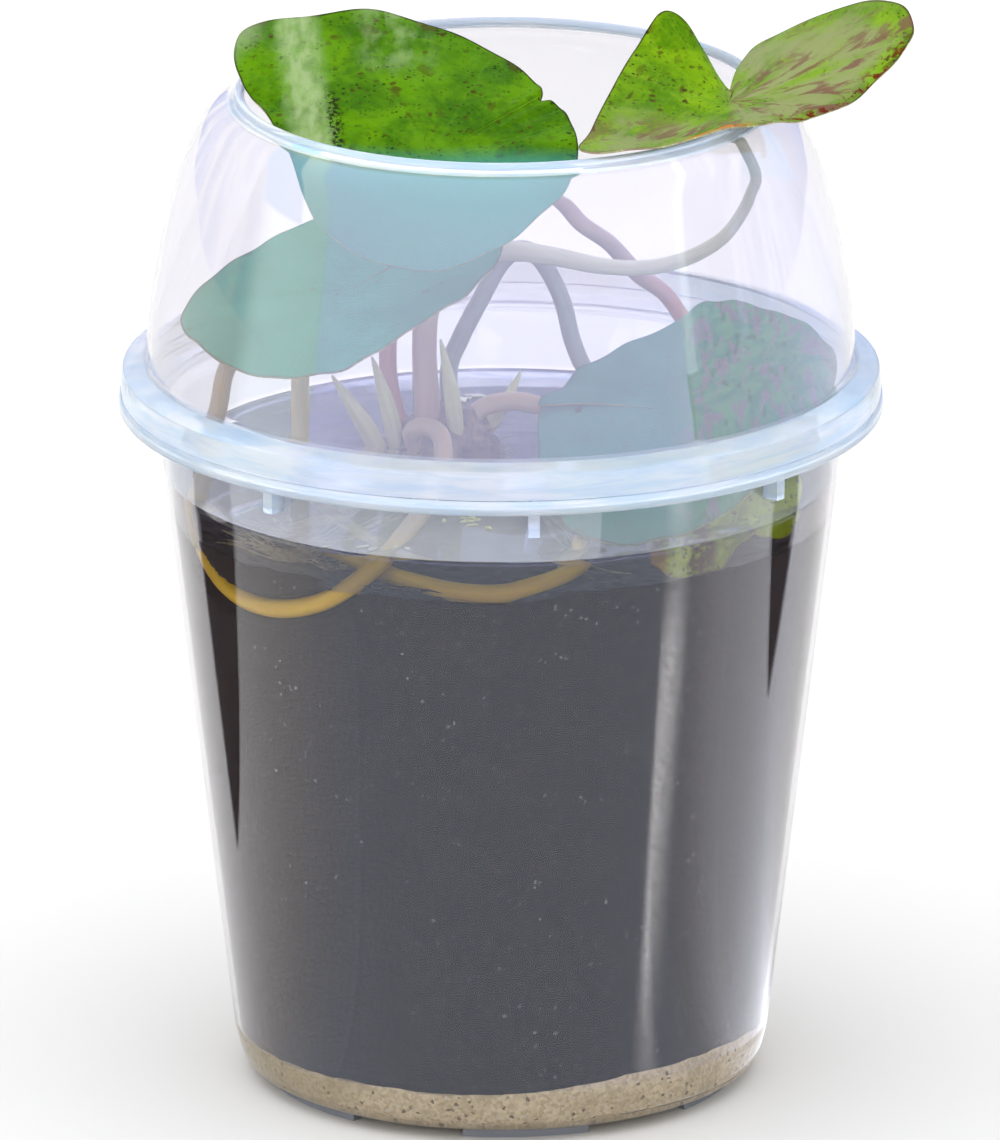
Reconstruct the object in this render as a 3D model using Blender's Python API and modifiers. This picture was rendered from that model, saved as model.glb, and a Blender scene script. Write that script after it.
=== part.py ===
"""A dwarf water lily growing in a tall clear cup under a clear domed lid.

Sizes and places are in millimetres until they become meshes, which are in metres.
They are measured from the cup's axis and from the surface the cup stands on, and the front faces -Y.
At the end everything moves a little along X, so that the origin is at the middle of its bounds.
"""

import math

import bmesh
import bpy
from mathutils import Matrix, Vector

MM = 0.001
GAP = 0.3
CLEARANCE = 0.38
THIN_CLEARANCE = 0.65
STEPS = 36
CORNER = math.cos(math.pi / STEPS)

# Cup
WALL = 1.1
FOOT_HEIGHT = 2.8
FOOT_INNER_R = 53.5
FOOT_OUTER_R = 59.0
FOOT_COUNT = 6
FOOT_SPAN = math.radians(31)
FOOT_TURN = math.radians(6.2)
BASE_R = 65.5
MOUTH_Z = 172.0
MOUTH_R = 85.7
FLANGE_R = 95.0
FLANGE_LIP_Z = 175.9
RIB_COUNT = 8
RIB_TURN = math.radians(5.2)
RIB_WIDTH = 2.8
RIB_OUTER_R = 89.6
RIB_LOW_Z = 165.0

# Lid
SKIRT_R = 94.3
HOLE_R = 64.9
HOLE_Z = 252.0
BEAD_R = 1.5
DOME = (
    (67.9, 250.8), (72.9, 246.7), (76.9, 239.8), (80.2, 231.0),
    (83.5, 218.5), (86.1, 204.5), (87.6, 193.0), (88.0, 184.8),
)
SHOULDER = ((89.6, 183.4), (92.9, 182.8), (94.2, 181.2))

# Fill
FLOOR_Z = 4.2
SAND_TOP = 13.0
SAND_HEAP = 4.6
SAND_HEAP_AT = (48.0, -42.0)
SAND_HEAP_R = 26.0
SOIL_TOP = 146.0
SOIL_FALL = 0.028
WATER_TOP = 156.0

# Plant
CROWN_AT = (-14.0, 2.0, 157.0)
CROWN_R = (14.0, 9.5, 13.5)
BLADE = 0.7
STEM_GAP = 0.7
STEM_TURN = 4.5

CUP_COLOUR = (0.86, 0.91, 0.97)
SAND_COLOUR = (0.50, 0.42, 0.30)
SOIL_COLOUR = (0.035, 0.028, 0.022)
WATER_COLOUR = (0.80, 0.84, 0.90)
CROWN_COLOUR = (0.060, 0.045, 0.035)
LEAF_COLOUR = (0.13, 0.30, 0.03)
PALE_LEAF_COLOUR = (0.30, 0.42, 0.17)
OLD_LEAF_COLOUR = (0.46, 0.52, 0.10)
BROWN_STEM_COLOUR = (0.26, 0.16, 0.11)
GOLD_STEM_COLOUR = (0.58, 0.34, 0.06)
SHOOT_COLOUR = (0.55, 0.55, 0.26)
ROOT_COLOUR = (0.60, 0.52, 0.34)


def clear_scene():
    for obj in list(bpy.data.objects):
        bpy.data.objects.remove(obj, do_unlink=True)


def make_collection(name):
    collection = bpy.data.collections.new(name)
    bpy.context.scene.collection.children.link(collection)
    return collection


def make_material(name, colour, roughness, alpha=1.0):
    material = bpy.data.materials.new(name)
    material.use_nodes = True
    shader = material.node_tree.nodes["Principled BSDF"]
    shader.inputs["Base Color"].default_value = (*colour, 1.0)
    shader.inputs["Roughness"].default_value = roughness
    shader.inputs["Metallic"].default_value = 0.0
    shader.inputs["Alpha"].default_value = alpha
    return material


def make_object(name, data, collection, material=None):
    obj = bpy.data.objects.new(name, data)
    collection.objects.link(obj)
    if material:
        data.materials.append(material)
    return obj


def as_cutter(obj):
    obj.hide_render = True
    obj.display_type = "WIRE"
    return obj


def evaluated_mesh(obj):
    """The mesh that obj shows, with its loose ends welded. The object itself is removed."""
    bpy.context.view_layer.update()
    graph = bpy.context.evaluated_depsgraph_get()
    mesh = bpy.data.meshes.new_from_object(obj.evaluated_get(graph))
    mesh.transform(obj.matrix_world)
    shape = bmesh.new()
    shape.from_mesh(mesh)
    bmesh.ops.remove_doubles(shape, verts=shape.verts, dist=0.00001)
    shape.to_mesh(mesh)
    shape.free()
    bpy.data.objects.remove(obj, do_unlink=True)
    return mesh


def shade(obj):
    obj.data.shade_smooth()
    obj.data.set_sharp_from_angle(angle=math.radians(40))


def add_boolean(obj, cutter, operation="DIFFERENCE"):
    modifier = obj.modifiers.new(operation.title() + " " + cutter.name, "BOOLEAN")
    modifier.operation = operation
    modifier.solver = "EXACT"
    modifier.object = cutter


def turned(name, profile, closed, collection, material=None):
    """A Screw of a profile given as (radius, height), running down its outer side."""
    mesh = bpy.data.meshes.new(name)
    points = [(r * MM, 0.0, z * MM) for r, z in profile]
    edges = [(i, i + 1) for i in range(len(points) - 1)]
    if closed:
        edges.append((len(points) - 1, 0))
    mesh.from_pydata(points, edges, [])
    obj = make_object(name, mesh, collection, material)
    screw = obj.modifiers.new("Turn", "SCREW")
    screw.axis = "Z"
    screw.angle = math.tau
    screw.steps = STEPS
    screw.render_steps = STEPS
    screw.use_merge_vertices = True
    screw.merge_threshold = 0.0001
    screw.use_smooth_shade = True
    return obj


def outer_radius(z):
    """The cup wall's outer radius at height z."""
    return BASE_R + (z - FOOT_HEIGHT) * (MOUTH_R - BASE_R) / (MOUTH_Z - FOOT_HEIGHT)


def inner_radius(z):
    return outer_radius(z) - WALL


def fill_radius(z):
    """The radius of what fills the cup, clear of its wall."""
    return inner_radius(z) - GAP


def by_wall(degrees, z, radius=2.4):
    """The centre of a stem of this radius that lies against the cup's wall."""
    r = inner_radius(z) * CORNER - GAP - 0.05 - radius
    turn = math.radians(degrees)
    return (r * math.cos(turn), r * math.sin(turn), z)


def sand_top(x, y):
    away = (x - SAND_HEAP_AT[0]) ** 2 + (y - SAND_HEAP_AT[1]) ** 2
    return SAND_TOP + SAND_HEAP * math.exp(-away / (2 * SAND_HEAP_R**2))


def soil_top(x, y):
    return SOIL_TOP - SOIL_FALL * y


def make_cup(parts, helpers):
    lip = FLANGE_R - 1.3
    profile = [
        (0, FLOOR_Z),
        (61.0, FLOOR_Z),
        (64.2, 7.2),
        (inner_radius(13), 13.0),
        (inner_radius(MOUTH_Z), MOUTH_Z + 0.2),
        (inner_radius(MOUTH_Z) + 1.4, MOUTH_Z + 1.3),
        (lip - 0.8, MOUTH_Z + 1.3),
        (lip, MOUTH_Z + 2.1),
        (lip + 0.2, FLANGE_LIP_Z - 0.2),
        (lip + 0.7, FLANGE_LIP_Z),
        (FLANGE_R, FLANGE_LIP_Z - 0.7),
        (FLANGE_R, MOUTH_Z + 0.7),
        (FLANGE_R - 0.7, MOUTH_Z),
        (MOUTH_R + 0.9, MOUTH_Z),
        (outer_radius(MOUTH_Z - 0.9), MOUTH_Z - 0.9),
        (outer_radius(12), 12.0),
        (BASE_R - 0.2, 7.0),
        (64.0, 4.0),
        (61.5, FOOT_HEIGHT),
        (0, FOOT_HEIGHT),
    ]
    material = make_material("clear plastic cup", CUP_COLOUR, 0.08, 0.3)
    cup = turned("cup", profile, False, parts, material)
    add_boolean(cup, make_feet(helpers), "UNION")
    add_boolean(cup, make_ribs(helpers), "UNION")
    return cup


def make_feet(helpers):
    """Short arcs of wall in a ring under the base."""
    curve = bpy.data.curves.new("feet", "CURVE")
    curve.dimensions = "2D"
    curve.fill_mode = "BOTH"
    high = FOOT_HEIGHT + 0.7
    curve.extrude = high / 2 * MM
    bend = 5
    for index in range(FOOT_COUNT):
        middle = -math.pi / 2 + FOOT_TURN + index * math.tau / FOOT_COUNT
        turns = [middle + FOOT_SPAN * (i / bend - 0.5) for i in range(bend + 1)]
        outline = [(FOOT_OUTER_R, t) for t in turns] + [(FOOT_INNER_R, t) for t in reversed(turns)]
        spline = curve.splines.new("POLY")
        spline.points.add(len(outline) - 1)
        for point, (r, turn) in zip(spline.points, outline):
            point.co = (r * math.cos(turn) * MM, r * math.sin(turn) * MM, 0, 1)
        spline.use_cyclic_u = True
    obj = make_object("feet", curve, helpers)
    obj.location.z = high / 2 * MM
    mesh = evaluated_mesh(obj)
    return as_cutter(make_object("feet", mesh, helpers))


def make_ribs(helpers):
    """Small upright ribs between the wall and the flange's underside."""
    shape = bmesh.new()
    root_r = outer_radius(RIB_LOW_Z) - 0.6
    size = (RIB_OUTER_R - root_r, RIB_WIDTH, MOUTH_Z + 0.6 - RIB_LOW_Z)
    for index in range(RIB_COUNT):
        turn = -math.pi / 2 + RIB_TURN + index * math.tau / RIB_COUNT
        centre = Vector((root_r + size[0] / 2, 0, RIB_LOW_Z + size[2] / 2)) * MM
        place = Matrix.Rotation(turn, 4, "Z") @ Matrix.Translation(centre)
        bmesh.ops.create_cube(shape, size=1.0, matrix=place @ Matrix.Diagonal((*(s * MM for s in size), 1)))
    mesh = bpy.data.meshes.new("ribs")
    shape.to_mesh(mesh)
    shape.free()
    return as_cutter(make_object("ribs", mesh, helpers))


def offset_inward(points, distance):
    """The points of a profile moved to the left of its own direction, which is its inner side."""
    moved = []
    for i, point in enumerate(points):
        before = Vector(points[max(i - 1, 0)])
        after = Vector(points[min(i + 1, len(points) - 1)])
        along = (after - before).normalized()
        moved.append((point[0] + along.y * distance, point[1] - along.x * distance))
    return moved


def make_lid(parts):
    outer = [*DOME, *SHOULDER, (SKIRT_R, FLANGE_LIP_Z + GAP)]
    inner = offset_inward(outer, WALL)
    inner[-1] = (SKIRT_R - WALL, FLANGE_LIP_Z + GAP)
    bead = []
    for degrees in (-160, 130, 60, -10):
        turn = math.radians(degrees)
        bead.append((HOLE_R + BEAD_R * math.cos(turn), HOLE_Z + BEAD_R * math.sin(turn)))
    material = make_material("clear plastic lid", CUP_COLOUR, 0.08, 0.3)
    return turned("lid", [*bead, *outer, *reversed(inner)], True, parts, material)


def make_fill(name, profile, low, high, parts, material):
    """A turned layer whose lower and upper faces then follow low(x, y) and high(x, y)."""
    mesh = evaluated_mesh(turned(name, profile, False, parts))
    middle = (profile[0][1] + profile[-1][1]) / 2
    for vertex in mesh.vertices:
        x, y, z = (value / MM for value in vertex.co)
        follows = high if z > middle else low
        if follows is None:
            continue
        z = follows(x, y)
        r = math.hypot(x, y)
        edge = fill_radius(z) / r if r > 60 else 1.0
        vertex.co = Vector((x * edge, y * edge, z)) * MM
    obj = make_object(name, mesh, parts, material)
    shade(obj)
    return obj


def make_sand(parts):
    profile = [(0, 20), (33, 20), (66, 20), (64.2 - GAP, 7.4), (60.9, FLOOR_Z + GAP), (0, FLOOR_Z + GAP)]
    material = make_material("pale sand", SAND_COLOUR, 0.9)
    return make_fill("sand", profile, None, sand_top, parts, material)


def make_soil(parts):
    profile = [(0, 146), (28, 146), (56, 146), (81, 146), (66, 13), (33, 13), (0, 13)]
    material = make_material("wet soil", SOIL_COLOUR, 0.6)
    return make_fill("soil", profile, lambda x, y: sand_top(x, y) + GAP, soil_top, parts, material)


def make_water(parts):
    profile = [(0, 156), (82, 156), (81, 146), (56, 146), (28, 146), (0, 146)]
    material = make_material("water", WATER_COLOUR, 0.02, 0.35)
    above_soil = lambda x, y: soil_top(x, y) + GAP
    return make_fill("water", profile, above_soil, lambda x, y: WATER_TOP, parts, material)


def make_crown(parts):
    """The knobbly rootstock that the stems and shoots grow from."""
    shape = bmesh.new()
    bmesh.ops.create_icosphere(shape, subdivisions=3, radius=1.0)
    for vertex in shape.verts:
        x, y, z = vertex.co
        knobs = math.sin(7 * x + 2 * z) * math.sin(6 * y - 3 * x) + 0.6 * math.sin(9 * z + 4 * y)
        swell = 1 + 0.07 * knobs
        vertex.co = Vector([(c * swell * r + at) * MM for c, r, at in zip((x, y, z), CROWN_R, CROWN_AT)])
    mesh = bpy.data.meshes.new("crown")
    shape.to_mesh(mesh)
    shape.free()
    obj = make_object("crown", mesh, parts, make_material("rootstock", CROWN_COLOUR, 0.7))
    shade(obj)
    return obj


def make_clearance(obj, helpers, distance=CLEARANCE):
    """A copy of a mesh object grown by the gap that its neighbours keep."""
    mesh = obj.data.copy()
    moves = [vertex.normal * distance * MM for vertex in mesh.vertices]
    for vertex, move in zip(mesh.vertices, moves):
        vertex.co += move
    return as_cutter(make_object(obj.name + "_clearance", mesh, helpers))


def smooth_points(points, count, closed=False):
    """Evenly spaced values along a smooth curve through the points, each of any length."""
    points = [Vector(p) for p in points]
    total = len(points)
    spans = total if closed else total - 1
    result = []
    for step in range(count):
        place = step * spans / (count if closed else count - 1)
        span = min(int(place), spans - 1)
        t = place - span
        if closed:
            a, b, c, d = (points[(span + k) % total] for k in (-1, 0, 1, 2))
        else:
            a, b, c, d = (points[min(max(span + k, 0), total - 1)] for k in (-1, 0, 1, 2))
        value = 2 * b + (c - a) * t
        value += (2 * a - 5 * b + 4 * c - d) * t**2 + (3 * b - a - 3 * c + d) * t**3
        result.append(value / 2)
    return result


def make_tube(name, route, radius, collection, material=None, spacing=9.0, tip=None, sides=2, end=None):
    """A round stem along a route. The radius runs from its first value to its last."""
    radii = radius if isinstance(radius, tuple) else (radius, radius)
    length = sum((Vector(b) - Vector(a)).length for a, b in zip(route, route[1:]))
    count = max(4, round(length / spacing) + 1)
    points = smooth_points(route, count)
    if end is not None:
        points.append(Vector(end))
        count += 1
    curve = bpy.data.curves.new(name, "CURVE")
    curve.dimensions = "3D"
    curve.bevel_depth = MM
    curve.bevel_resolution = sides
    curve.use_fill_caps = True
    spline = curve.splines.new("POLY")
    spline.points.add(count - 1)
    for index, (point, place) in enumerate(zip(spline.points, points)):
        along = index / (count - 1)
        point.co = (*(place * MM), 1)
        point.radius = radii[0] + (radii[1] - radii[0]) * along
        if tip is not None:
            point.radius = tip(along) * radii[0]
    obj = make_object(name, curve, collection)
    mesh = evaluated_mesh(obj)
    tube = make_object(name, mesh, collection, material)
    shade(tube)
    return tube


def newell_normal(points):
    normal = Vector((0, 0, 0))
    for a, b in zip(points, points[1:] + points[:1]):
        normal += a.cross(b)
    normal.normalize()
    return normal if normal.z > 0 else -normal


def blade_point(edge, joint, normal, bulge, share, place):
    """A point of the blade on the way from the joint to the margin, flat near the joint."""
    away = edge[place] - joint
    height = away.dot(normal)
    flat = away - normal * height
    return joint + flat * share + normal * (height * share**2 + bulge * 4 * share * (1 - share))


def make_blade(name, margin, joint, bulge, collection, material=None, samples=28):
    """A leaf blade: a spun disc spread from the stem's joint to the margin and given thickness."""
    edge = smooth_points(margin, samples, closed=True)
    joint = Vector(joint)
    normal = newell_normal(edge)
    shape = bmesh.new()
    line = [shape.verts.new((share, 0, 0)) for share in (0, 0.36, 0.68, 1)]
    line += [shape.edges.new(pair) for pair in zip(line, line[1:])]
    turn = {"cent": (0, 0, 0), "axis": (0, 0, 1), "angle": math.tau}
    bmesh.ops.spin(shape, geom=line, steps=samples, use_merge=True, **turn)
    bmesh.ops.remove_doubles(shape, verts=shape.verts, dist=0.001)
    for vertex in shape.verts:
        share = vertex.co.length
        place = round(math.atan2(vertex.co.y, vertex.co.x) / math.tau * samples) % samples
        vertex.co = blade_point(edge, joint, normal, bulge, share, place) * MM
    bmesh.ops.recalc_face_normals(shape, faces=shape.faces)
    mesh = bpy.data.meshes.new(name)
    shape.to_mesh(mesh)
    shape.free()
    blade = make_object(name, mesh, collection)
    solid = blade.modifiers.new("Thickness", "SOLIDIFY")
    solid.thickness = BLADE * MM
    solid.offset = 0.0
    obj = make_object(name, evaluated_mesh(blade), collection, material)
    shade(obj)
    return obj


UPPER_LEFT_JOINT = (-18, -40, 247.5)
UPPER_LEFT_MARGIN = (
    (11, -15, 254), (8, -6, 257), (0, 4, 261), (-15, 14, 265), (-32, 18, 268), (-50, 18, 267),
    (-62, 14, 266), (-66, 4, 262), (-64, -7, 257), (-59, -17, 253.5), (-55, -27, 250), (-51, -38, 246),
    (-48, -50, 240), (-42, -60, 233), (-30, -65, 228), (-14, -66, 227), (0, -61, 231), (10, -53, 237),
    (17, -45, 243), (19, -37, 248), (17, -26, 252), (13, -18, 254),
)

LOWER_LEFT_JOINT = (-37, -14, 206)
LOWER_LEFT_MARGIN = (
    (-79, -14, 198), (-74, -4, 204), (-64, 6, 209), (-53, 12, 213), (-39, 15, 218), (-25, 13, 222),
    (-13, 8, 223), (-4, -1, 222), (0, -12, 219), (-1, -26, 216), (-8, -37, 212), (-18, -45, 208),
    (-30, -50, 201), (-41, -52, 196), (-53, -50, 194), (-65, -42, 194), (-74, -30, 196),
)

RIGHT_JOINT = (56, -16, 254.5)
RIGHT_MARGIN = (
    (57, -11, 256), (54, -2, 257), (50, 8, 261), (46, 14, 266), (41, 16, 269), (37, 12, 267),
    (32, 0, 262), (26, -24, 258), (22, -44, 255.5), (19, -58, 255), (25, -61, 255), (35, -58, 255.2),
    (45, -51, 255.2), (52, -44, 255.2), (60, -38, 254.6), (68, -30, 253.5), (75, -24, 253), (86, -18, 255),
    (93, -14, 260), (99, -8, 265), (102, -2, 269), (100, 4, 273), (94, 9, 274), (85, 14, 271),
    (74, 20, 264), (65, 22, 259), (60, 17, 256), (58.5, 5, 255.5),
)

LOWER_RIGHT_JOINT = (39, -18, 176)
LOWER_RIGHT_MARGIN = (
    (83, -8, 186), (80, 4, 188), (74, 12, 190), (66, 16, 192), (56, 18, 194), (49, 17, 192),
    (41, 16, 187), (30, 13, 183), (20, 8, 179), (14, 2, 175), (10, -5, 174), (9, -22, 171),
    (10, -40, 166), (15, -58, 160), (24, -69, 157.4), (37, -67, 157.4), (49, -62, 160), (61, -53, 165),
    (73, -38, 172), (81, -20, 181),
)

OLD_JOINT = (60, -38, 159)
OLD_MARGIN = (
    (36, -68, 153), (41, -66, 148.5), (47, -63, 146.5), (53, -59, 148.5), (57, -56, 152.5), (61, -52.5, 155),
    (65, -47.5, 152.5), (70, -39, 151), (73, -32, 156), (74, -27, 161), (70, -20, 162), (62, -22, 160.5),
    (52, -32, 159), (43, -46, 158), (37, -59, 157),
)

UPPER_LEFT_ROUTE = (
    (-10, 3, 163), (-5, 3, 170), (3, 3, 172), (11, 1, 171), (24, -1, 168), (36, -5, 163), (45, -14, 159),
    (46, -28, 155.5), (41, -45, 153), (33, -61, 152.5), (20, -74, 152), by_wall(-83, 148.8), by_wall(-90, 148),
    by_wall(-97.5, 148.4), (-19, -72.5, 149.2), (-27, -63, 150.2), (-37, -47, 153), (-45, -26, 153.5),
    (-50, -4, 154), (-50, 12, 160), (-50, 17, 175), (-50, 20, 192), (-50, 27, 208), (-46, 24, 225),
    (-36, 4, 238), (-26, -20, 242),
)

LOWER_LEFT_ROUTE = (
    (-20, -2, 160), (-22, -5, 166), (-19, -9, 169), (-15, -15, 168.5), (-14.5, -26, 164.5), (-18.5, -42, 159),
    (-24, -59, 156.5), (-29.5, -70, 153), by_wall(-118.7, 145.8), by_wall(-125, 140.5), by_wall(-132.5, 137),
    by_wall(-140.6, 135.5), by_wall(-148.4, 136.5), by_wall(-155.2, 140.3), by_wall(-159.4, 146),
    by_wall(-160.8, 154), (-72, -27, 166), (-69.5, -27, 180), (-67, -25, 190), (-59, -20, 196.5), (-47, -16, 199),
)

RIGHT_ROUTE = (
    (-18, 1, 162), (-18.5, 0, 175), (-19, 0, 188), (-17.5, 0, 199), (-10, 2, 208.5), (1, 3, 211), (14, 4, 209),
    (25, 3, 207), (37, 2, 207), (49, 1, 210), (59, 0, 219), (65, -4, 231),
)

LOWER_RIGHT_ROUTE = (
    (-12, 6, 162), (-13, 8, 178), (-10, 8, 187), (-5, 8, 197), (0, 9, 206), (5, 11, 209), (10, 11, 206),
    (15, 12, 196), (18, 13, 184), (22, 12.5, 176), (30, 6, 171.5), (37, -8, 170),
)

OLD_ROUTE = (
    (-24, 4, 162), (-27.5, 4, 175), (-28, 6, 188), (-26, 16, 203), (-15, 22, 216), (-2, 19, 225), (8, 15, 226),
    (15, 13, 221), (20, 13, 215), (27, 16, 209), (34, 20, 200), (41, 22, 194), (47, 23, 185), (55, 22.5, 175),
    (63, 13, 166), (67, -4, 162.5), (66, -22, 158.5),
)

# Each leaf's name, margin, joint, bulge and colour
LEAVES = (
    ("upper_left", UPPER_LEFT_MARGIN, UPPER_LEFT_JOINT, -1.0, LEAF_COLOUR),
    ("lower_left", LOWER_LEFT_MARGIN, LOWER_LEFT_JOINT, 0.8, PALE_LEAF_COLOUR),
    ("right", RIGHT_MARGIN, RIGHT_JOINT, 0.4, LEAF_COLOUR),
    ("lower_right", LOWER_RIGHT_MARGIN, LOWER_RIGHT_JOINT, 1.0, PALE_LEAF_COLOUR),
    ("old", OLD_MARGIN, OLD_JOINT, 0.4, OLD_LEAF_COLOUR),
)

# Each leaf's stem: its route, its radii at the crown and at the blade, and its colour
STEMS = {
    "upper_left": (UPPER_LEFT_ROUTE, (2.4, 2.2), GOLD_STEM_COLOUR),
    "lower_left": (LOWER_LEFT_ROUTE, (2.4, 2.2), GOLD_STEM_COLOUR),
    "right": (RIGHT_ROUTE, (3.3, 2.2), BROWN_STEM_COLOUR),
    "lower_right": (LOWER_RIGHT_ROUTE, (2.3, 2.1), BROWN_STEM_COLOUR),
    "old": (OLD_ROUTE, (2.3, 1.9), BROWN_STEM_COLOUR),
}

# Each shoot's foot, tip and largest radius
SHOOTS = (
    ((-29, -2, 159), (-42, -3, 180.5), 2.3),
    ((-26, -1, 162), (-32, -2, 185), 2.2),
    ((-11, -3, 164), (-15, -7, 191), 2.1),
    ((-4, 8, 162), (5, 9.5, 178), 1.8),
    ((-20, 8, 163), (-21.5, 12.5, 199), 2.0),
)

ROOTS = (
    ((-22, -2, 152), (-32, -16, 149), (-42, -36, 148.8), (-51, -49, 150), (-59, -46, 151.5), (-65, -38, 151)),
    ((-16, -4, 152), (-20, -18, 149), (-27, -36, 148.6), (-37, -53, 148.7), (-45, -57, 151.5)),
    ((-6, 0, 152), (2, -14, 149), (12, -34, 149), (18, -52, 149.4), (22, -64, 149.8)),
)
ROOT_R = 0.7


def stem_end(margin, joint):
    """The last two points of a stem, square under its blade at the joint."""
    normal = newell_normal(smooth_points(margin, 28, closed=True))
    reach = BLADE / 2 + STEM_GAP
    return tuple(tuple(Vector(joint) - normal * (reach + back)) for back in (STEM_TURN, 0))


def shoot_taper(along):
    """Slender at the foot, fullest low down and pointed at the tip."""
    return 0.12 + 0.88 * math.sin(math.pi * (0.22 + 0.78 * along) ** 0.8) ** 0.9


def centre_on_base(parts, helpers):
    """Moves everything along X, so that the origin is at the middle of its bounds."""
    bpy.context.view_layer.update()
    graph = bpy.context.evaluated_depsgraph_get()
    reach = [corner[0] for obj in parts.objects for corner in obj.evaluated_get(graph).bound_box]
    for obj in [*parts.objects, *helpers.objects]:
        obj.location.x -= (min(reach) + max(reach)) / 2


def main():
    clear_scene()
    parts = make_collection("dwarf water lily")
    helpers = make_collection("cutters")
    make_cup(parts, helpers)
    make_lid(parts)
    make_sand(parts)
    soil = make_soil(parts)
    water = make_water(parts)
    crown = make_crown(parts)
    crown_clearance = make_clearance(crown, helpers)
    for filling in (soil, water):
        add_boolean(filling, crown_clearance)

    for name, margin, joint, bulge, colour in LEAVES:
        material = make_material("leaf " + name.replace("_", " "), colour, 0.35)
        leaf = make_blade("leaf_" + name, margin, joint, bulge, parts, material)
        route, radii, stem_colour = STEMS[name]
        material = make_material("stem " + name.replace("_", " "), stem_colour, 0.4)
        turn, end = stem_end(margin, joint)
        stem = make_tube("petiole_" + name, (*route, turn), radii, parts, material, end=end)
        clearance = make_clearance(stem, helpers)
        add_boolean(stem, crown_clearance)
        add_boolean(water, clearance)
        if name in ("upper_left", "lower_left"):
            add_boolean(soil, clearance)
        if name == "old":
            leaf_clearance = make_clearance(leaf, helpers, THIN_CLEARANCE)
            add_boolean(soil, leaf_clearance)
            add_boolean(water, leaf_clearance)

    shoot_material = make_material("young shoot", SHOOT_COLOUR, 0.4)
    for index, (foot, tip, radius) in enumerate(SHOOTS, 1):
        route = (foot, tuple((a + b) / 2 for a, b in zip(foot, tip)), tip)
        shoot = make_tube(f"shoot_{index}", route, radius, parts, shoot_material, 4.0, shoot_taper)
        add_boolean(shoot, crown_clearance)

    root_material = make_material("root", ROOT_COLOUR, 0.6)
    for index, route in enumerate(ROOTS, 1):
        root = make_tube(f"root_{index}", route, ROOT_R, parts, root_material, sides=1)
        add_boolean(water, make_clearance(root, helpers, THIN_CLEARANCE))
        add_boolean(root, crown_clearance)

    centre_on_base(parts, helpers)


main()
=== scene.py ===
import math

import bmesh
import bpy
import numpy as np
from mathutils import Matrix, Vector


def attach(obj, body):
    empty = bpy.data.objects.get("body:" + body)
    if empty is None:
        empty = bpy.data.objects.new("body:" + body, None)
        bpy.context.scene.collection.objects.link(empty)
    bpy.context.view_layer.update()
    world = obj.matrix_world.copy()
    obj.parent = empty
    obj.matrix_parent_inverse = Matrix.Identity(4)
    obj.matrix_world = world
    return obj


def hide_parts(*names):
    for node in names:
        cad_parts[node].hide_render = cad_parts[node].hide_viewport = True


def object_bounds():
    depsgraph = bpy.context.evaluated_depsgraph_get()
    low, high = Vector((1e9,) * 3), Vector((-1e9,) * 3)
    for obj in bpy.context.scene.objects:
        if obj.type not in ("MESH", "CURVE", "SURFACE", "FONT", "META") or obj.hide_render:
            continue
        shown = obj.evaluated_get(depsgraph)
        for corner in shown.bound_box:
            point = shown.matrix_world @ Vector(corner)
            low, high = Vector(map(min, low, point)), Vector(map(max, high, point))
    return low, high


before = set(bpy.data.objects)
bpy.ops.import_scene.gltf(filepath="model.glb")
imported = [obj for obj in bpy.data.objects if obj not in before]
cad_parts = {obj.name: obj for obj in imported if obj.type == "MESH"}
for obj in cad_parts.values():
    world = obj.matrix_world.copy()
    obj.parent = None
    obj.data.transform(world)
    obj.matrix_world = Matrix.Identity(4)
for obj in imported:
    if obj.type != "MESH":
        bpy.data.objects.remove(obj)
cad_low, cad_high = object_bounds()
MM = 0.001
rng = np.random.default_rng(11)

# Sizes shared with the construction, in millimetres from the cup's axis

WALL = 1.1
GAP = 0.3
FLOOR_Z = 4.2
FOOT_HEIGHT = 2.8
BASE_R = 65.5
MOUTH_Z = 172.0
MOUTH_R = 85.7
FLANGE_R = 95.0
FLANGE_LIP_Z = 175.9
SKIRT_R = 94.3
HOLE_R = 64.9
HOLE_Z = 252.0
BEAD_R = 1.5
DOME = (
    (67.9, 250.8), (72.9, 246.7), (76.9, 239.8), (80.2, 231.0), (83.5, 218.5),
    (86.1, 204.5), (87.6, 193.0), (88.0, 184.8),
)
SAND_TOP = 13.0
SAND_HEAP = 4.6
SAND_HEAP_AT = (48.0, -42.0)
SAND_HEAP_R = 26.0
CLING = 0.05
SOIL_TOP = 146.0
SOIL_FALL = 0.028
WATER_TOP = 156.0
CROWN_AT = (-14.0, 2.0, 157.0)
CROWN_R = (14.0, 9.5, 13.5)
STEM_R = 2.4
WALL_FACETS = 36

# The frame's origin is at the middle of the bounds, so the cup's axis is a little off it
AXIS_X = cad_low[0] + FLANGE_R * MM


def outer_radius(z):
    return BASE_R + (z - FOOT_HEIGHT) * (MOUTH_R - BASE_R) / (MOUTH_Z - FOOT_HEIGHT)


def inner_radius(z):
    return outer_radius(z) - WALL


def fill_radius(z):
    return inner_radius(z) - GAP


def sand_top(x, y):
    away = (x - SAND_HEAP_AT[0]) ** 2 + (y - SAND_HEAP_AT[1]) ** 2
    return SAND_TOP + SAND_HEAP * np.exp(-away / (2 * SAND_HEAP_R**2))


def soil_top(x, y):
    return SOIL_TOP - SOIL_FALL * y


def by_wall(degrees, z):
    """The centre of a stem that lies against the cup's wall."""
    r = inner_radius(z) * math.cos(math.pi / WALL_FACETS) - GAP - CLING - STEM_R
    turn = math.radians(degrees)
    return (r * math.cos(turn), r * math.sin(turn), z)


# Heights and radii of the cup's inner corner, from its floor up
CUP_CORNER = ((FLOOR_Z, 60.6), (5.6, 63.2), (8.0, 64.2), (13.0, inner_radius(13)))


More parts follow.
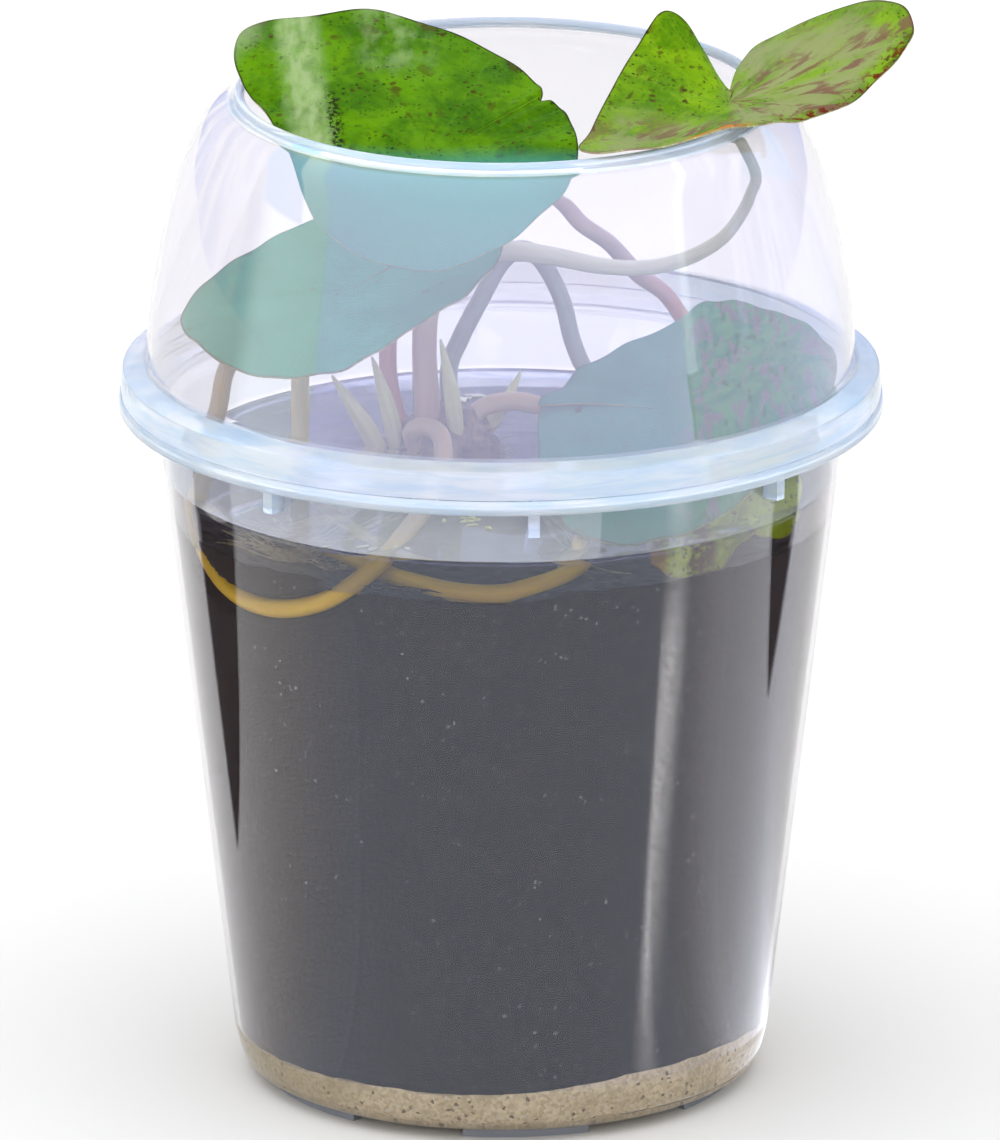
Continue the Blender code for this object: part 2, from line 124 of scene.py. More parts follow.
# Mesh helpers

# Points round a surface of revolution
TURN = 192

# Stems: spacing of their rings, sides, lumps and how far their ends narrow
STEM_SPACING = 1.2
STEM_SIDES = 20
STEM_LUMPS = 0.03
STEM_END = 0.8


def smooth_points(points, count, closed=False):
    """Evenly spaced values along a smooth curve through the points."""
    points = np.array(points, float)
    total = len(points)
    spans = total if closed else total - 1
    place = np.arange(count) * spans / (count if closed else count - 1)
    span = np.minimum(place.astype(int), spans - 1)
    t = (place - span)[:, None]
    pick = [(span + k) % total if closed else np.clip(span + k, 0, total - 1) for k in (-1, 0, 1, 2)]
    a, b, c, d = (points[p] for p in pick)
    return (2 * b + (c - a) * t + (2 * a - 5 * b + 4 * c - d) * t**2 + (3 * b - a - 3 * c + d) * t**3) / 2


def make_object(name, verts, faces, materials=(), uvs=None):
    """A smooth mesh object from points in millimetres. uvs is one pair per point."""
    mesh = bpy.data.meshes.new(name)
    mesh.from_pydata((np.asarray(verts, float) * MM).tolist(), [], [list(map(int, f)) for f in faces])
    if uvs is not None:
        layer = mesh.uv_layers.new(name="surface")
        corners = np.empty(len(mesh.loops), np.int64)
        mesh.loops.foreach_get("vertex_index", corners)
        layer.data.foreach_set("uv", np.asarray(uvs, np.float32)[corners].ravel())
    mesh.polygons.foreach_set("use_smooth", [True] * len(mesh.polygons))
    mesh.update()
    return place_mesh(name, mesh, materials)


def place_mesh(name, mesh, materials=()):
    """An object for a mesh that is measured from the cup's axis."""
    obj = bpy.data.objects.new(name, mesh)
    obj.location.x = AXIS_X
    bpy.context.scene.collection.objects.link(obj)
    for material in materials:
        mesh.materials.append(material)
    return obj


def from_shape(name, shape, materials=()):
    mesh = bpy.data.meshes.new(name)
    shape.to_mesh(mesh)
    shape.free()
    return place_mesh(name, mesh, materials)


def apply_modifier(obj, kind, **settings):
    modifier = obj.modifiers.new(kind, kind)
    for key, value in settings.items():
        setattr(modifier, key, value)
    bpy.context.view_layer.update()
    graph = bpy.context.evaluated_depsgraph_get()
    done = obj.evaluated_get(graph)
    mesh = bpy.data.meshes.new_from_object(done, preserve_all_data_layers=True, depsgraph=graph)
    obj.modifiers.clear()
    obj.data = mesh


def face_out(mesh, up=None):
    """Turns the faces outwards, or for an open sheet to the side of up."""
    shape = bmesh.new()
    shape.from_mesh(mesh)
    bmesh.ops.recalc_face_normals(shape, faces=shape.faces)
    if up is not None and sum(face.normal.dot(up) for face in shape.faces) < 0:
        bmesh.ops.reverse_faces(shape, faces=shape.faces)
    shape.to_mesh(mesh)
    shape.free()


def sharpen(obj, degrees):
    obj.data.shade_smooth()
    obj.data.set_sharp_from_angle(angle=math.radians(degrees))


def grid_faces(rows, columns, wrap=False):
    """Faces between rows of points. wrap joins the last column to the first."""
    faces = []
    for i in range(rows - 1):
        for j in range(columns if wrap else columns - 1):
            k = (j + 1) % columns
            faces.append((i * columns + j, i * columns + k, (i + 1) * columns + k, (i + 1) * columns + j))
    return faces


def closed_rings(rows, first, last):
    """Points and faces of a closed skin over rings of points, from the point first to the point last."""
    steps = len(rows[0])
    start, base = len(rows) * steps, (len(rows) - 1) * steps
    faces = [f[::-1] for f in grid_faces(len(rows), steps, True)]
    for i in range(steps):
        j = (i + 1) % steps
        faces += [(start, i, j), (start + 1, base + j, base + i)]
    return np.concatenate([*rows, [first, last]]), faces


def revolve(name, profile, material, closed=False):
    """A surface of revolution of (radius, height) points. An open profile starts and ends on the axis."""
    turns = np.arange(TURN) * math.tau / TURN
    rows = []
    for r, z in profile if closed else profile[1:-1]:
        rows.append(np.stack([r * np.cos(turns), r * np.sin(turns), np.full(TURN, z)], 1))
    if closed:
        top = (len(rows) - 1) * TURN
        verts, faces = np.concatenate(rows), [f[::-1] for f in grid_faces(len(rows), TURN, True)]
        faces += [(top + i, i, (i + 1) % TURN, top + (i + 1) % TURN) for i in range(TURN)]
    else:
        verts, faces = closed_rings(rows, (0, 0, profile[0][1]), (0, 0, profile[-1][1]))
    obj = make_object(name, verts, faces, [material])
    face_out(obj.data)
    return obj


def rounded(profile, radius, steps):
    """The profile with each inner corner replaced by a short arc, so that its edges catch the light."""
    points = [Vector(p) for p in profile]
    result = [points[0]]
    for before, corner, after in zip(points, points[1:], points[2:]):
        into, out = before - corner, after - corner
        reach = min(radius, into.length * 0.45, out.length * 0.45)
        start, end = corner + into.normalized() * reach, corner + out.normalized() * reach
        for i in range(steps + 1):
            t = i / steps
            result.append(start * (1 - t) ** 2 + corner * 2 * t * (1 - t) + end * t**2)
    return [tuple(p) for p in (*result, points[-1])]


def tube_arrays(path, radii, sides):
    """Points, faces and coordinates of a round tube along a path, with closed ends."""
    tangents = np.gradient(path, axis=0)
    tangents /= np.linalg.norm(tangents, axis=1)[:, None] + 1e-12
    side = np.cross(tangents[0], (0.31, 0.22, 0.93))
    side /= np.linalg.norm(side)
    turns = np.arange(sides) * math.tau / sides
    along = np.concatenate([[0], np.cumsum(np.linalg.norm(np.diff(path, axis=0), axis=1))])
    rings, uvs = [], []
    for at, tangent, radius, length in zip(path, tangents, radii, along):
        side = side - tangent * side.dot(tangent)
        side /= np.linalg.norm(side)
        up = np.cross(tangent, side)
        rings.append(at + radius * (np.cos(turns)[:, None] * side + np.sin(turns)[:, None] * up))
        uvs.append(np.stack([np.arange(sides) / sides, np.full(sides, length)], 1))
    verts, faces = closed_rings(rings, path[0], path[-1])
    return verts, [f[::-1] for f in faces], np.concatenate(uvs + [[[0.5, 0], [0.5, along[-1]]]])


def make_tubes(name, tubes, material):
    """One object from the points, faces and coordinates of several tubes."""
    verts, faces, uvs = zip(*tubes)
    starts = np.cumsum([0, *map(len, verts)])
    faces = [tuple(i + start for i in face) for start, tube in zip(starts, faces) for face in tube]
    return make_object(name, np.concatenate(verts), faces, [material], np.concatenate(uvs))


def make_tube(name, route, radius, material, seed):
    """A stem along a route, with slightly uneven thickness."""
    length = sum(math.dist(a, b) for a, b in zip(route, route[1:]))
    count = int(length / STEM_SPACING)
    t = np.linspace(0, 1, count)
    radii = np.interp(t, np.linspace(0, 1, len(radius)), radius)
    radii *= 1 + STEM_LUMPS * np.sin(t * length / 7 + seed) * np.sin(t * length / 17 + 2 * seed)
    radii[[0, -1]] *= STEM_END
    return make_tubes(name, [tube_arrays(smooth_points(route, count), radii, STEM_SIDES)], material)


def dress(obj, slot, *nodes):
    """Says what a piece is: it rides the one body and replaces the nodes; slot is not used."""
    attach(obj, "root")
    if nodes:
        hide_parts(*nodes)


# Shader helpers

PLASTIC_IOR = 1.47

# A leaf's veins: how many, the share of the way out at which they start, and how far they are turned
VEINS = ((11, 0.0, 0.0), (22, 0.40, 0.25), (44, 0.70, 0.125))
BLADE_R = 38


def paint(colour):
    """A colour as a socket takes it."""
    return colour if isinstance(colour, bpy.types.NodeSocket) else (*colour, 1.0)


class Nodes:
    """Short calls for the nodes of one tree. Positions are in millimetres."""

    def __init__(self, tree):
        self.tree = tree

    def link(self, value, socket):
        if isinstance(value, bpy.types.NodeSocket):
            self.tree.links.new(value, socket)
        else:
            socket.default_value = value

    def node(self, kind, inputs=None, **settings):
        """A node. inputs has a value, or a socket to link, for the name or number of each input."""
        node = self.tree.nodes.new("ShaderNode" + kind)
        for key, value in settings.items():
            setattr(node, key, value)
        for key, value in (inputs or {}).items():
            self.link(value, node.inputs[key])
        return node

    def scaled(self, vector, scale):
        return self.node("VectorMath", {0: vector, 1: scale}, operation="MULTIPLY").outputs[0]

    def place(self, stretch=(1, 1, 1)):
        """The position in millimetres, times stretch."""
        return self.scaled(self.node("TexCoord").outputs["Object"], [1000 * s for s in stretch])

    def surface(self, stretch=(1, 1, 1)):
        """The piece's own surface coordinates, times stretch."""
        return self.scaled(self.node("UVMap", uv_map="surface").outputs[0], stretch)

    def split(self, vector):
        return list(self.node("SeparateXYZ", {0: vector}).outputs)

    def math(self, operation, *values):
        return self.node("Math", dict(enumerate(values)), operation=operation).outputs[0]

    def plus(self, a, b):
        return self.math("ADD", a, b)

    def minus(self, a, b):
        return self.math("SUBTRACT", a, b)

    def times(self, first, *others):
        for other in others:
            first = self.math("MULTIPLY", first, other)
        return first

    def most(self, first, *others):
        for other in others:
            first = self.math("MAXIMUM", first, other)
        return first

    def noise(self, vector, size, detail=3.0, roughness=0.55, distortion=0.0):
        """Soft noise from 0 to 1 whose features are about size millimetres."""
        inputs = {"Vector": vector, "Scale": 1 / size, "Detail": detail}
        inputs.update(Roughness=roughness, Distortion=distortion)
        return self.node("TexNoise", inputs).outputs["Fac"]

    def around(self, width, *settings):
        """Noise with these settings, between minus and plus half of width."""
        return self.times(self.minus(self.noise(*settings), 0.5), width)

    def cells(self, vector, size):
        return self.node("TexVoronoi", {"Vector": vector, "Scale": 1 / size}).outputs

    def spots(self, vector, size, share):
        """Ragged spots of many sizes. share is the part of the cells that has one."""
        warp = self.node("TexNoise", {"Vector": vector, "Scale": 2.5 / size, "Detail": 3.0})
        inputs = {0: warp.outputs["Color"], 1: [0.6 * size] * 3, 2: vector}
        moved = self.node("VectorMath", inputs, operation="MULTIPLY_ADD").outputs[0]
        cells = self.cells(moved, size)
        pick, tone = self.split(cells["Color"])[:2]
        radius = self.times(self.minus(pick, 1 - share), 0.5 / share)
        spot = self.step(self.minus(radius, cells["Distance"]), -0.02, 0.14)
        return self.times(spot, self.step(tone, 0, 1, 0.4, 1.0))

    def step(self, value, low, high, start=0.0, end=1.0):
        """start below low, end above high and smooth between them."""
        inputs = {"Value": value, "From Min": low, "From Max": high, "To Min": start, "To Max": end}
        return self.node("MapRange", inputs, interpolation_type="SMOOTHSTEP").outputs["Result"]

    def band(self, value, low, rise, fall, high):
        """1 from rise to fall, going smoothly to 0 at low and at high."""
        return self.times(self.step(value, low, rise), self.step(value, fall, high, 1, 0))

    def mix(self, factor, a, b):
        inputs = {"Factor": factor, 6: paint(a), 7: paint(b)}
        return self.node("Mix", inputs, data_type="RGBA").outputs[2]

    def bump(self, height, strength, distance):
        """A bump whose full height is distance millimetres."""
        inputs = {"Height": height, "Strength": strength, "Distance": distance * MM}
        return self.node("Bump", inputs).outputs[0]


class Shader(Nodes):
    """A material with one main shader. colour is what it has so far."""

    def __init__(self, name):
        self.material = bpy.data.materials.new(name)
        self.material.use_nodes = True
        super().__init__(self.material.node_tree)

    def coat(self, share, tone):
        """Lays this share of a tone over the colour so far."""
        self.colour = self.mix(share, self.colour, tone)

    def finish(self, colour, roughness, normal=None, **values):
        """Sets the main shader. values are plain numbers, named with _ for a space."""
        main = self.tree.nodes["Principled BSDF"].inputs
        self.link(paint(colour), main["Base Color"])
        self.link(roughness, main["Roughness"])
        if normal is not None:
            self.link(normal, main["Normal"])
        for key, value in values.items():
            main[key.replace("_", " ")].default_value = value
        return self.material


def clear_plastic(name, tint, haze, roughness=0.0, ripple=0.0):
    """Clear moulded plastic. haze is the share of light that it scatters."""
    s = Shader(name)
    normal = s.bump(s.noise(s.place((1, 1, 0.6)), 26, 1.0), 0.6, ripple) if ripple else None
    return s.finish(tint, roughness, normal, IOR=PLASTIC_IOR, Transmission_Weight=1 - haze)


def plastic_with_painted_highlights(name):
    """Thick milky plastic with pale blue and white streaks round it, the white ones a painted highlight, and
    a painted paler highlight at the back, under the height of the hole's rim.
    """
    s = Shader(name)
    # Painted highlight: the white in these streaks stands in for light lines round the thick plastic
    painted_highlight_streak = s.noise(s.place((0.35, 0.35, 3.0)), 7, 3, 0.6, 0.4)
    s.colour = s.mix(s.step(painted_highlight_streak, 0.32, 0.68), (0.72, 0.86, 1.0), (0.92, 0.96, 1.0))
    x, y, z = s.split(s.place())
    # Painted highlight: the back, under the height of the hole's rim, is laid paler
    back = s.times(s.step(y, -10, 45), s.step(x, 62, 25), s.step(z, 245, 250, 1, 0), 0.85)
    s.coat(back, (0.97, 0.96, 1.0))
    return s.finish(s.colour, 0.0, IOR=PLASTIC_IOR, Transmission_Weight=0.62)


def soil_material():
    s = Shader("wet soil")
    p = s.place()
    fine = s.noise(p, 1.6, 6, 0.7)
    broad = s.noise(p, 14, 4, 0.6)
    s.colour = s.mix(s.step(fine, 0.35, 0.75), (0.008, 0.003, 0.003), (0.038, 0.022, 0.020))
    s.coat(s.step(broad, 0.45, 0.75, 0, 0.6), (0.030, 0.018, 0.014))
    grit = s.step(s.cells(p, 2.3)["Distance"], 0.16, 0.05)
    brown = s.times(grit, s.step(s.noise(p, 5, 2), 0.56, 0.66), 0.75)
    s.coat(brown, (0.16, 0.09, 0.05))
    pale = s.times(s.spots(p, 1.25, 0.20), s.step(s.noise(p, 20, 2), 0.40, 0.60, 0.2, 1.0))
    s.coat(pale, (0.17, 0.17, 0.18))
    height = s.plus(s.times(fine, 0.7), s.times(broad, 0.6))
    rough = s.step(fine, 0.3, 0.7, 0.35, 0.7)
    return s.finish(s.colour, rough, s.bump(height, 0.5, 0.5), Specular_IOR_Level=0.06)


def sand_material():
    s = Shader("pale sand")
    p = s.place()
    grains = s.cells(p, 0.85)
    tone = s.split(grains["Color"])[0]
    s.colour = s.mix(s.step(tone, 0.0, 1.0), (0.60, 0.49, 0.30), (0.83, 0.71, 0.49))
    s.coat(s.step(tone, 0.955, 0.97, 0, 0.8), (0.09, 0.06, 0.04))
    s.coat(s.step(tone, 0.06, 0.04, 0, 0.6), (0.86, 0.80, 0.68))
    damp = s.step(s.noise(p, 9, 4), 0.45, 0.7, 0, 0.35)
    s.coat(damp, (0.38, 0.28, 0.14))
    s.coat(s.step(s.split(p)[0], -25, -60, 0, 0.6), (0.34, 0.27, 0.12))
    return s.finish(s.colour, 0.75, s.bump(grains["Distance"], 0.6, 0.35))


def water_material():
    s = Shader("pond water")
    ripple = s.bump(s.noise(s.place((1, 1, 0.3)), 18, 2.0), 0.25, 0.12)
    # Painted reflection: the water's blue colour and its paler patches stand in for bluish light mirrored on
    # its surface
    painted_sheen = s.noise(s.place((0.7, 1.6, 1)), 13, 4, 0.55, 0.8)
    colour = s.mix(s.step(painted_sheen, 0.38, 0.62), (0.28, 0.39, 0.66), (0.62, 0.71, 0.95))
    return s.finish(colour, 0.0, ripple, IOR=1.33, Transmission_Weight=0.88)


def leaf_material(name, dark, light, speck, specks, veins, margin=None, streaks=None, marks=None):
    """A leaf's skin: clouded greens, faint veins, ragged dark specks and a margin.

    streaks is a colour that runs out from the joint, and marks(s) adds what only one leaf has.
    """
    s = Shader(name)
    p = s.place()
    turn, share = s.split(s.surface())[:2]
    s.colour = s.mix(s.step(s.noise(p, 15, 4, 0.6, 0.5), 0.34, 0.66), dark, light)
    fine = s.noise(s.surface((70, 22, 1)), 1.0, 4, 0.65)
    s.coat(s.step(fine, 0.40, 0.75, 0, 0.45), light)
    s.coat(s.step(s.noise(p, 3.2, 4, 0.6), 0.52, 0.72, 0, 0.5), dark)
    lines = 0.0
    wander = s.around(0.25, s.surface((5, 3, 1)), 1.0, 1)
    for count, start, shift in VEINS:
        phase = s.plus(s.math("MULTIPLY_ADD", turn, float(count), shift), wander)
        off = s.math("ABSOLUTE", s.minus(s.math("FRACT", phase), 0.5))
        width = s.times(off, s.times(share, math.tau * BLADE_R / count))
        line = s.times(s.step(width, 0.08, 0.55, 1, 0), s.step(share, start, start + 0.15))
        lines = s.most(lines, line)
    s.coat(s.times(lines, veins), [min(1.0, c * 1.7 + 0.03) for c in light])
    if streaks:
        spread = s.noise(s.surface((24, 3.6, 1)), 1.0, 5, 0.62, 0.5)
        s.coat(s.step(spread, 0.50, 0.66, 0, 0.75), streaks)
    few = s.step(s.noise(p, 11, 3), 0.35, 0.62, 0.25, 1.0)
    rim = s.step(share, 0.86, 0.97, 0, 0.9)
    brown = [0.6 * a + 0.4 * b for a, b in zip(speck, (0.10, 0.045, 0.005))]
    drawn_out = s.surface((62, 15, 1))
    kinds = ((drawn_out, 1.3, few, brown), (p, 2.0, few, brown), (p, 1.1, few, speck), (p, 1.3, rim, speck))
    for place, size, where, tone in kinds:
        s.coat(s.times(s.spots(place, size, specks), where), tone)
    if margin:
        edge = s.plus(share, s.around(0.02, p, 5, 3))
        s.coat(s.step(edge, 0.984, 0.995, 0, 0.9), margin)
    if marks:
        marks(s)
    height = s.plus(s.times(lines, -4 * veins), s.times(s.noise(p, 1.6, 3), 0.4))
    rough = s.step(s.noise(p, 4, 2), 0.3, 0.7, 0.40, 0.52)
    return s.finish(s.colour, rough, s.bump(height, 0.5, 0.3), Specular_IOR_Level=0.015)


def upper_left_marks(s):
    """Painted pale glare streaks, dark cracks beside one, the closed slit, and painted shade with a teal
    veil where the leaf dips under the lid.
    """
    p = s.place()
    x, y, z = s.split(p)
    # Painted highlight: pale glare laid on as colour, in streaks, a corner patch and a soft band
    across = s.plus(s.math("MULTIPLY_ADD", y, 0.10, x), s.around(3.5, p, 5, 4, 0.7))
    streaky = s.step(s.noise(s.place((1, 0.12, 1)), 2.4, 3), 0.30, 0.66, 0.35, 0.80)
    painted_highlight_streak = s.times(s.band(across, -57.0, -51.0, -48.0, -42.0), streaky)
    corner = s.times(s.step(s.minus(across, y), -62, -74), s.step(across, -55, -62), 0.55)
    soft = s.step(s.noise(s.place((1, 0.3, 1)), 4, 4), 0.36, 0.66, 0, 0.45)
    painted_glare_band = s.times(s.band(across, -38, -28, -26, -12), s.step(y, -12, 2), soft)
    s.coat(s.most(painted_highlight_streak, corner, painted_glare_band), (0.27, 0.36, 0.17))
    broken = s.step(s.noise(p, 1.1, 4, 0.7), 0.46, 0.54)
    crack = s.times(s.band(across, -45.5, -44.0, -42.5, -41.0), s.step(y, -10, -18), broken)
    s.coat(crack, (0.012, 0.020, 0.002))
    turn = s.split(s.surface())[0]
    from_slit = s.math("MINIMUM", turn, s.minus(1.0, turn))
    s.coat(s.step(from_slit, 0.0005, 0.0022, 0.7, 0), (0.20, 0.34, 0.04))
    # Painted shade and teal veil where the leaf dips under the lid
    s.coat(s.step(z, 249.5, 244.0, 0, 0.97), (0.05, 0.26, 0.22))


def right_marks(s):
    """The right lobe and the front get a painted pale sheen with mauve streaks, the lower margin is blotched
    dark red.
    """
    p = s.place()
    x, y, z = s.split(p)
    share = s.split(s.surface())[1]
    rough = s.around(14.0, p, 8, 4, 0.6)
    where = s.most(s.step(s.plus(x, rough), 52, 62), s.step(s.plus(y, rough), -20, -38, 0, 0.9))
    fade = s.step(s.noise(s.surface((16, 2.4, 1)), 1.0, 4, 0.6), 0.36, 0.60, 0.15, 0.95)
    outer = s.step(share, 0.80, 1.0, 1.0, 0.35)
    # Painted sheen: the right lobe and the front laid paler, less so towards the margin
    s.coat(s.times(where, fade, outer), (0.205, 0.235, 0.095))
    mauve = s.step(s.noise(s.surface((30, 3.2, 1)), 1.0, 5, 0.62, 0.6), 0.50, 0.60, 0, 0.85)
    above = s.plus(z, s.minus(s.times(y, 0.31), s.times(x, 0.39)))
    mauve = s.times(mauve, s.step(s.plus(above, rough), 229, 237, 1.0, 0.3), where)
    s.coat(mauve, (0.14, 0.065, 0.050))
    low = s.times(s.step(share, 0.80, 0.93), s.step(x, 52, 60), s.step(y, 2, -10))
    blotch = s.times(low, s.step(s.noise(p, 2.4, 4, 0.65), 0.50, 0.60, 0, 0.95))
    s.coat(blotch, (0.10, 0.012, 0.004))
    orange = s.times(s.step(share, 0.78, 0.86), s.band(x, 44, 47, 56, 64), s.step(y, -20, -26))
    orange = s.times(orange, s.step(s.noise(p, 3, 3), 0.35, 0.50))
    s.coat(orange, (0.50, 0.16, 0.01))


def lower_right_marks(s):
    """The right half is mottled green and mauve, the left half is plain."""
    p = s.place()
    where = s.step(s.plus(s.split(p)[0], s.around(16.0, p, 9, 4, 0.6)), 40, 52)
    leafy = s.step(s.noise(s.surface((36, 9, 1)), 1.0, 5, 0.65, 0.8), 0.42, 0.58, 0.3, 1.0)
    mauve = s.step(s.noise(s.place((1.3, 0.4, 0.4)), 4.5, 5, 0.7, 0.3), 0.49, 0.58, 0, 0.85)
    dark = s.step(s.noise(s.place((1.3, 0.5, 0.5)), 2.6, 4, 0.65, 0.3), 0.55, 0.64, 0, 0.8)
    s.coat(s.times(leafy, where), (0.115, 0.34, 0.20))
    s.coat(s.times(mauve, where), (0.25, 0.20, 0.29))
    s.coat(s.times(dark, where), (0.045, 0.18, 0.09))


def old_marks(s):
    """A dark red blotch near the torn front end, and an orange tip."""
    p = s.place()
    across = s.plus(s.split(p)[0], s.around(7.0, p, 3, 4, 0.65))
    ragged = s.step(s.noise(p, 3.0, 4, 0.7), 0.34, 0.50)
    blotch = s.times(s.band(across, 44.5, 46, 50, 52), ragged, 0.85)
    s.coat(blotch, (0.15, 0.035, 0.030))
    s.coat(s.step(across, 41.5, 38, 0, 0.85), (0.55, 0.25, 0.03))


def stem_material(name, low, high, stripe, low_z, high_z, gloss=0.35):
    """A stem whose colour changes with height, with fine stripes along it."""
    s = Shader(name)
    s.colour = s.mix(s.step(s.split(s.place())[2], low_z, high_z), low, high)
    lines = s.noise(s.surface((26, 0.06, 1)), 1.0, 4, 0.6)
    patches = s.noise(s.surface((4, 0.09, 1)), 1.0, 3, 0.6)
    s.coat(s.step(lines, 0.42, 0.72, 0, 0.55), stripe)
    s.coat(s.step(patches, 0.52, 0.72, 0, 0.45), stripe)
    return s.finish(s.colour, gloss, s.bump(lines, 0.5, 0.25), Specular_IOR_Level=0.3)


def plain_skin(name, a, b, size, roughness=0.6):
    s = Shader(name)
    n = s.noise(s.place(), size, 5, 0.65)
    return s.finish(s.mix(s.step(n, 0.35, 0.7), a, b), roughness, s.bump(n, 0.6, 0.3))


# Cup and lid

FOOT_RING = (53.5, 59.0)
FOOT_SPAN = math.radians(31)
RIB_LOW = 165.0
RIB_R = 89.6
RIB_SPAN = 2.8 / 87
SKIRT = (
    (88.4, 184.0), (89.8, 183.4), (92.6, 182.9), (93.9, 182.2), (94.25, 181.0),
    (SKIRT_R, 179.0), (SKIRT_R, FLANGE_LIP_Z + CLING),
)
# The lid's plastic is thick outside these heights
THICK_BELOW = 184.3
THICK_ABOVE = 250.6
# The cup's materials, in the order of its slots
CLEAR_WALL, MISTED, THICK_RIM, FEET_IN_PAINTED_SHADE, LESS_MISTED = range(5)
LESS_MIST_X = 24.0


def ring_blocks(name, count, first, span, inner, outer, low, high, steps):
    """Blocks of a ring, evenly spaced. first is the first one's place in degrees from the front."""
    shape = bmesh.new()
    for index in range(count):
        middle = -math.pi / 2 + math.radians(first) + index * math.tau / count
        rows = []
        for i in range(steps + 1):
            turn = middle + span * (i / steps - 0.5)
            c, s = math.cos(turn), math.sin(turn)
            corners = ((inner, low), (outer, low), (outer, high), (inner, high))
            rows.append([shape.verts.new((r * c * MM, r * s * MM, z * MM)) for r, z in corners])
        for a, b in zip(rows, rows[1:]):
            for k in range(4):
                shape.faces.new((a[k], a[(k + 1) % 4], b[(k + 1) % 4], b[k]))
        shape.faces.new(rows[0][::-1])
        shape.faces.new(rows[-1])
    bmesh.ops.recalc_face_normals(shape, faces=shape.faces)
    return from_shape(name, shape)


def cup_slot(x, y, z):
    """Which of the cup's materials a face has."""
    if z < FOOT_HEIGHT - 0.2:
        return FEET_IN_PAINTED_SHADE
    in_rib = RIB_LOW - 1 < z < MOUTH_Z and math.hypot(x, y) > outer_radius(z) + 0.2
    if in_rib or z > MOUTH_Z - 1.5:
        return THICK_RIM
    if z > WATER_TOP + 1:
        return LESS_MISTED if x > LESS_MIST_X and y < 0 else MISTED
    return CLEAR_WALL


def make_cup():
    lip = FLANGE_R - 1.3
    inside = [(inner_radius(z), z) for z in (60.0, 120.0, WATER_TOP + 1)]
    outside = [(outer_radius(z), z) for z in (MOUTH_Z - 0.9, WATER_TOP + 1, 120.0, 60.0, 12.0)]
    profile = [
        (0, FLOOR_Z), *[(r, z) for z, r in CUP_CORNER], *inside,
        (inner_radius(MOUTH_Z), MOUTH_Z + 0.2), (inner_radius(MOUTH_Z) + 1.4, MOUTH_Z + 1.3),
        (lip - 0.8, MOUTH_Z + 1.3), (lip, MOUTH_Z + 2.1), (lip + 0.2, FLANGE_LIP_Z - 0.2),
        (lip + 0.7, FLANGE_LIP_Z), (FLANGE_R, FLANGE_LIP_Z - 0.7), (FLANGE_R, MOUTH_Z + 0.7),
        (FLANGE_R - 0.7, MOUTH_Z), (MOUTH_R + 0.9, MOUTH_Z), *outside,
        (BASE_R - 0.1, 7.2), (64.3, 4.3), (62.0, FOOT_HEIGHT), (0, FOOT_HEIGHT),
    ]
    material = clear_plastic("clear cup plastic", (0.90, 0.875, 0.90), 0.01, 0.0, 0.03)
    cup = revolve("clear_cup", rounded(profile, 0.5, 3), material)
    feet = ring_blocks("feet", 6, 6.2, FOOT_SPAN, *FOOT_RING, 0.0, FOOT_HEIGHT + 0.7, 14)
    rib_foot = outer_radius(RIB_LOW) - 0.6
    ribs = ring_blocks("ribs", 8, 5.2, RIB_SPAN, rib_foot, RIB_R, RIB_LOW, MOUTH_Z + 0.6, 2)
    for helper in (feet, ribs):
        apply_modifier(cup, "BOOLEAN", operation="UNION", solver="EXACT", object=helper)
        bpy.data.objects.remove(helper, do_unlink=True)
    sharpen(cup, 30)
    for skin in (
        clear_plastic("misted cup wall", (0.93, 0.95, 1.0), 0.20),
        plastic_with_painted_highlights("thick cup rim"),
        # Painted shade: the feet are the cup's own clear plastic, tinted grey where they stand on the floor
        clear_plastic("feet grey with painted shade", (0.42, 0.45, 0.52), 0.45, 0.1),
        clear_plastic("less misted wall", (0.93, 0.95, 1.0), 0.11),
    ):
        cup.data.materials.append(skin)
    for face in cup.data.polygons:
        face.material_index = cup_slot(*(face.center / MM))
    dress(cup, "cup", "cup")


def make_lid():
    outer = [*[tuple(p) for p in smooth_points(DOME, 40)], *SKIRT]
    points = np.array(outer)
    along = np.gradient(points, axis=0)
    along /= np.linalg.norm(along, axis=1)[:, None]
    inner = points + np.stack([along[:, 1], -along[:, 0]], 1) * WALL
    inner[-1] = (SKIRT_R - WALL, FLANGE_LIP_Z + CLING)
    turns = np.radians(np.linspace(-150, -350, 14))
    bead = [(HOLE_R + BEAD_R * math.cos(t), HOLE_Z + BEAD_R * math.sin(t)) for t in turns]
    material = clear_plastic("clear lid plastic", (0.945, 0.93, 0.965), 0.075, 0.0, 0.04)
    lid = revolve("clear_lid", [*bead, *outer, *inner[::-1]], material, closed=True)
    sharpen(lid, 40)
    lid.data.materials.append(plastic_with_painted_highlights("thick lid rims"))
    for face in lid.data.polygons:
        face.material_index = int(not THICK_BELOW <= face.center.z / MM <= THICK_ABOVE)
    dress(lid, "lid", "lid")


# Sand, soil and water

# Where the stems' loops lie by the wall, and the dents that they press into the soil
LOOP_R = 62.0
DENT_DEPTH = 5.4
DENT_HALF = 3.6


def fractal(x, y, seed, size):
    """Smooth repeatable bumps from sums of sines, from about -1 to 1."""
    source = np.random.default_rng(seed)
    total, weight = 0, 1.0
    for _ in range(4):
        for _ in range(5):
            turn, phase = source.uniform(0, math.tau, 2)
            along = x * math.cos(turn) + y * math.sin(turn)
            total = total + weight * np.sin(along * math.tau / size + phase)
        weight *= 0.55
        size *= 0.47
    return total / 6


def uneven_sand(x, y):
    return sand_top(x, y) + 0.5 * fractal(x, y, 3, 18)


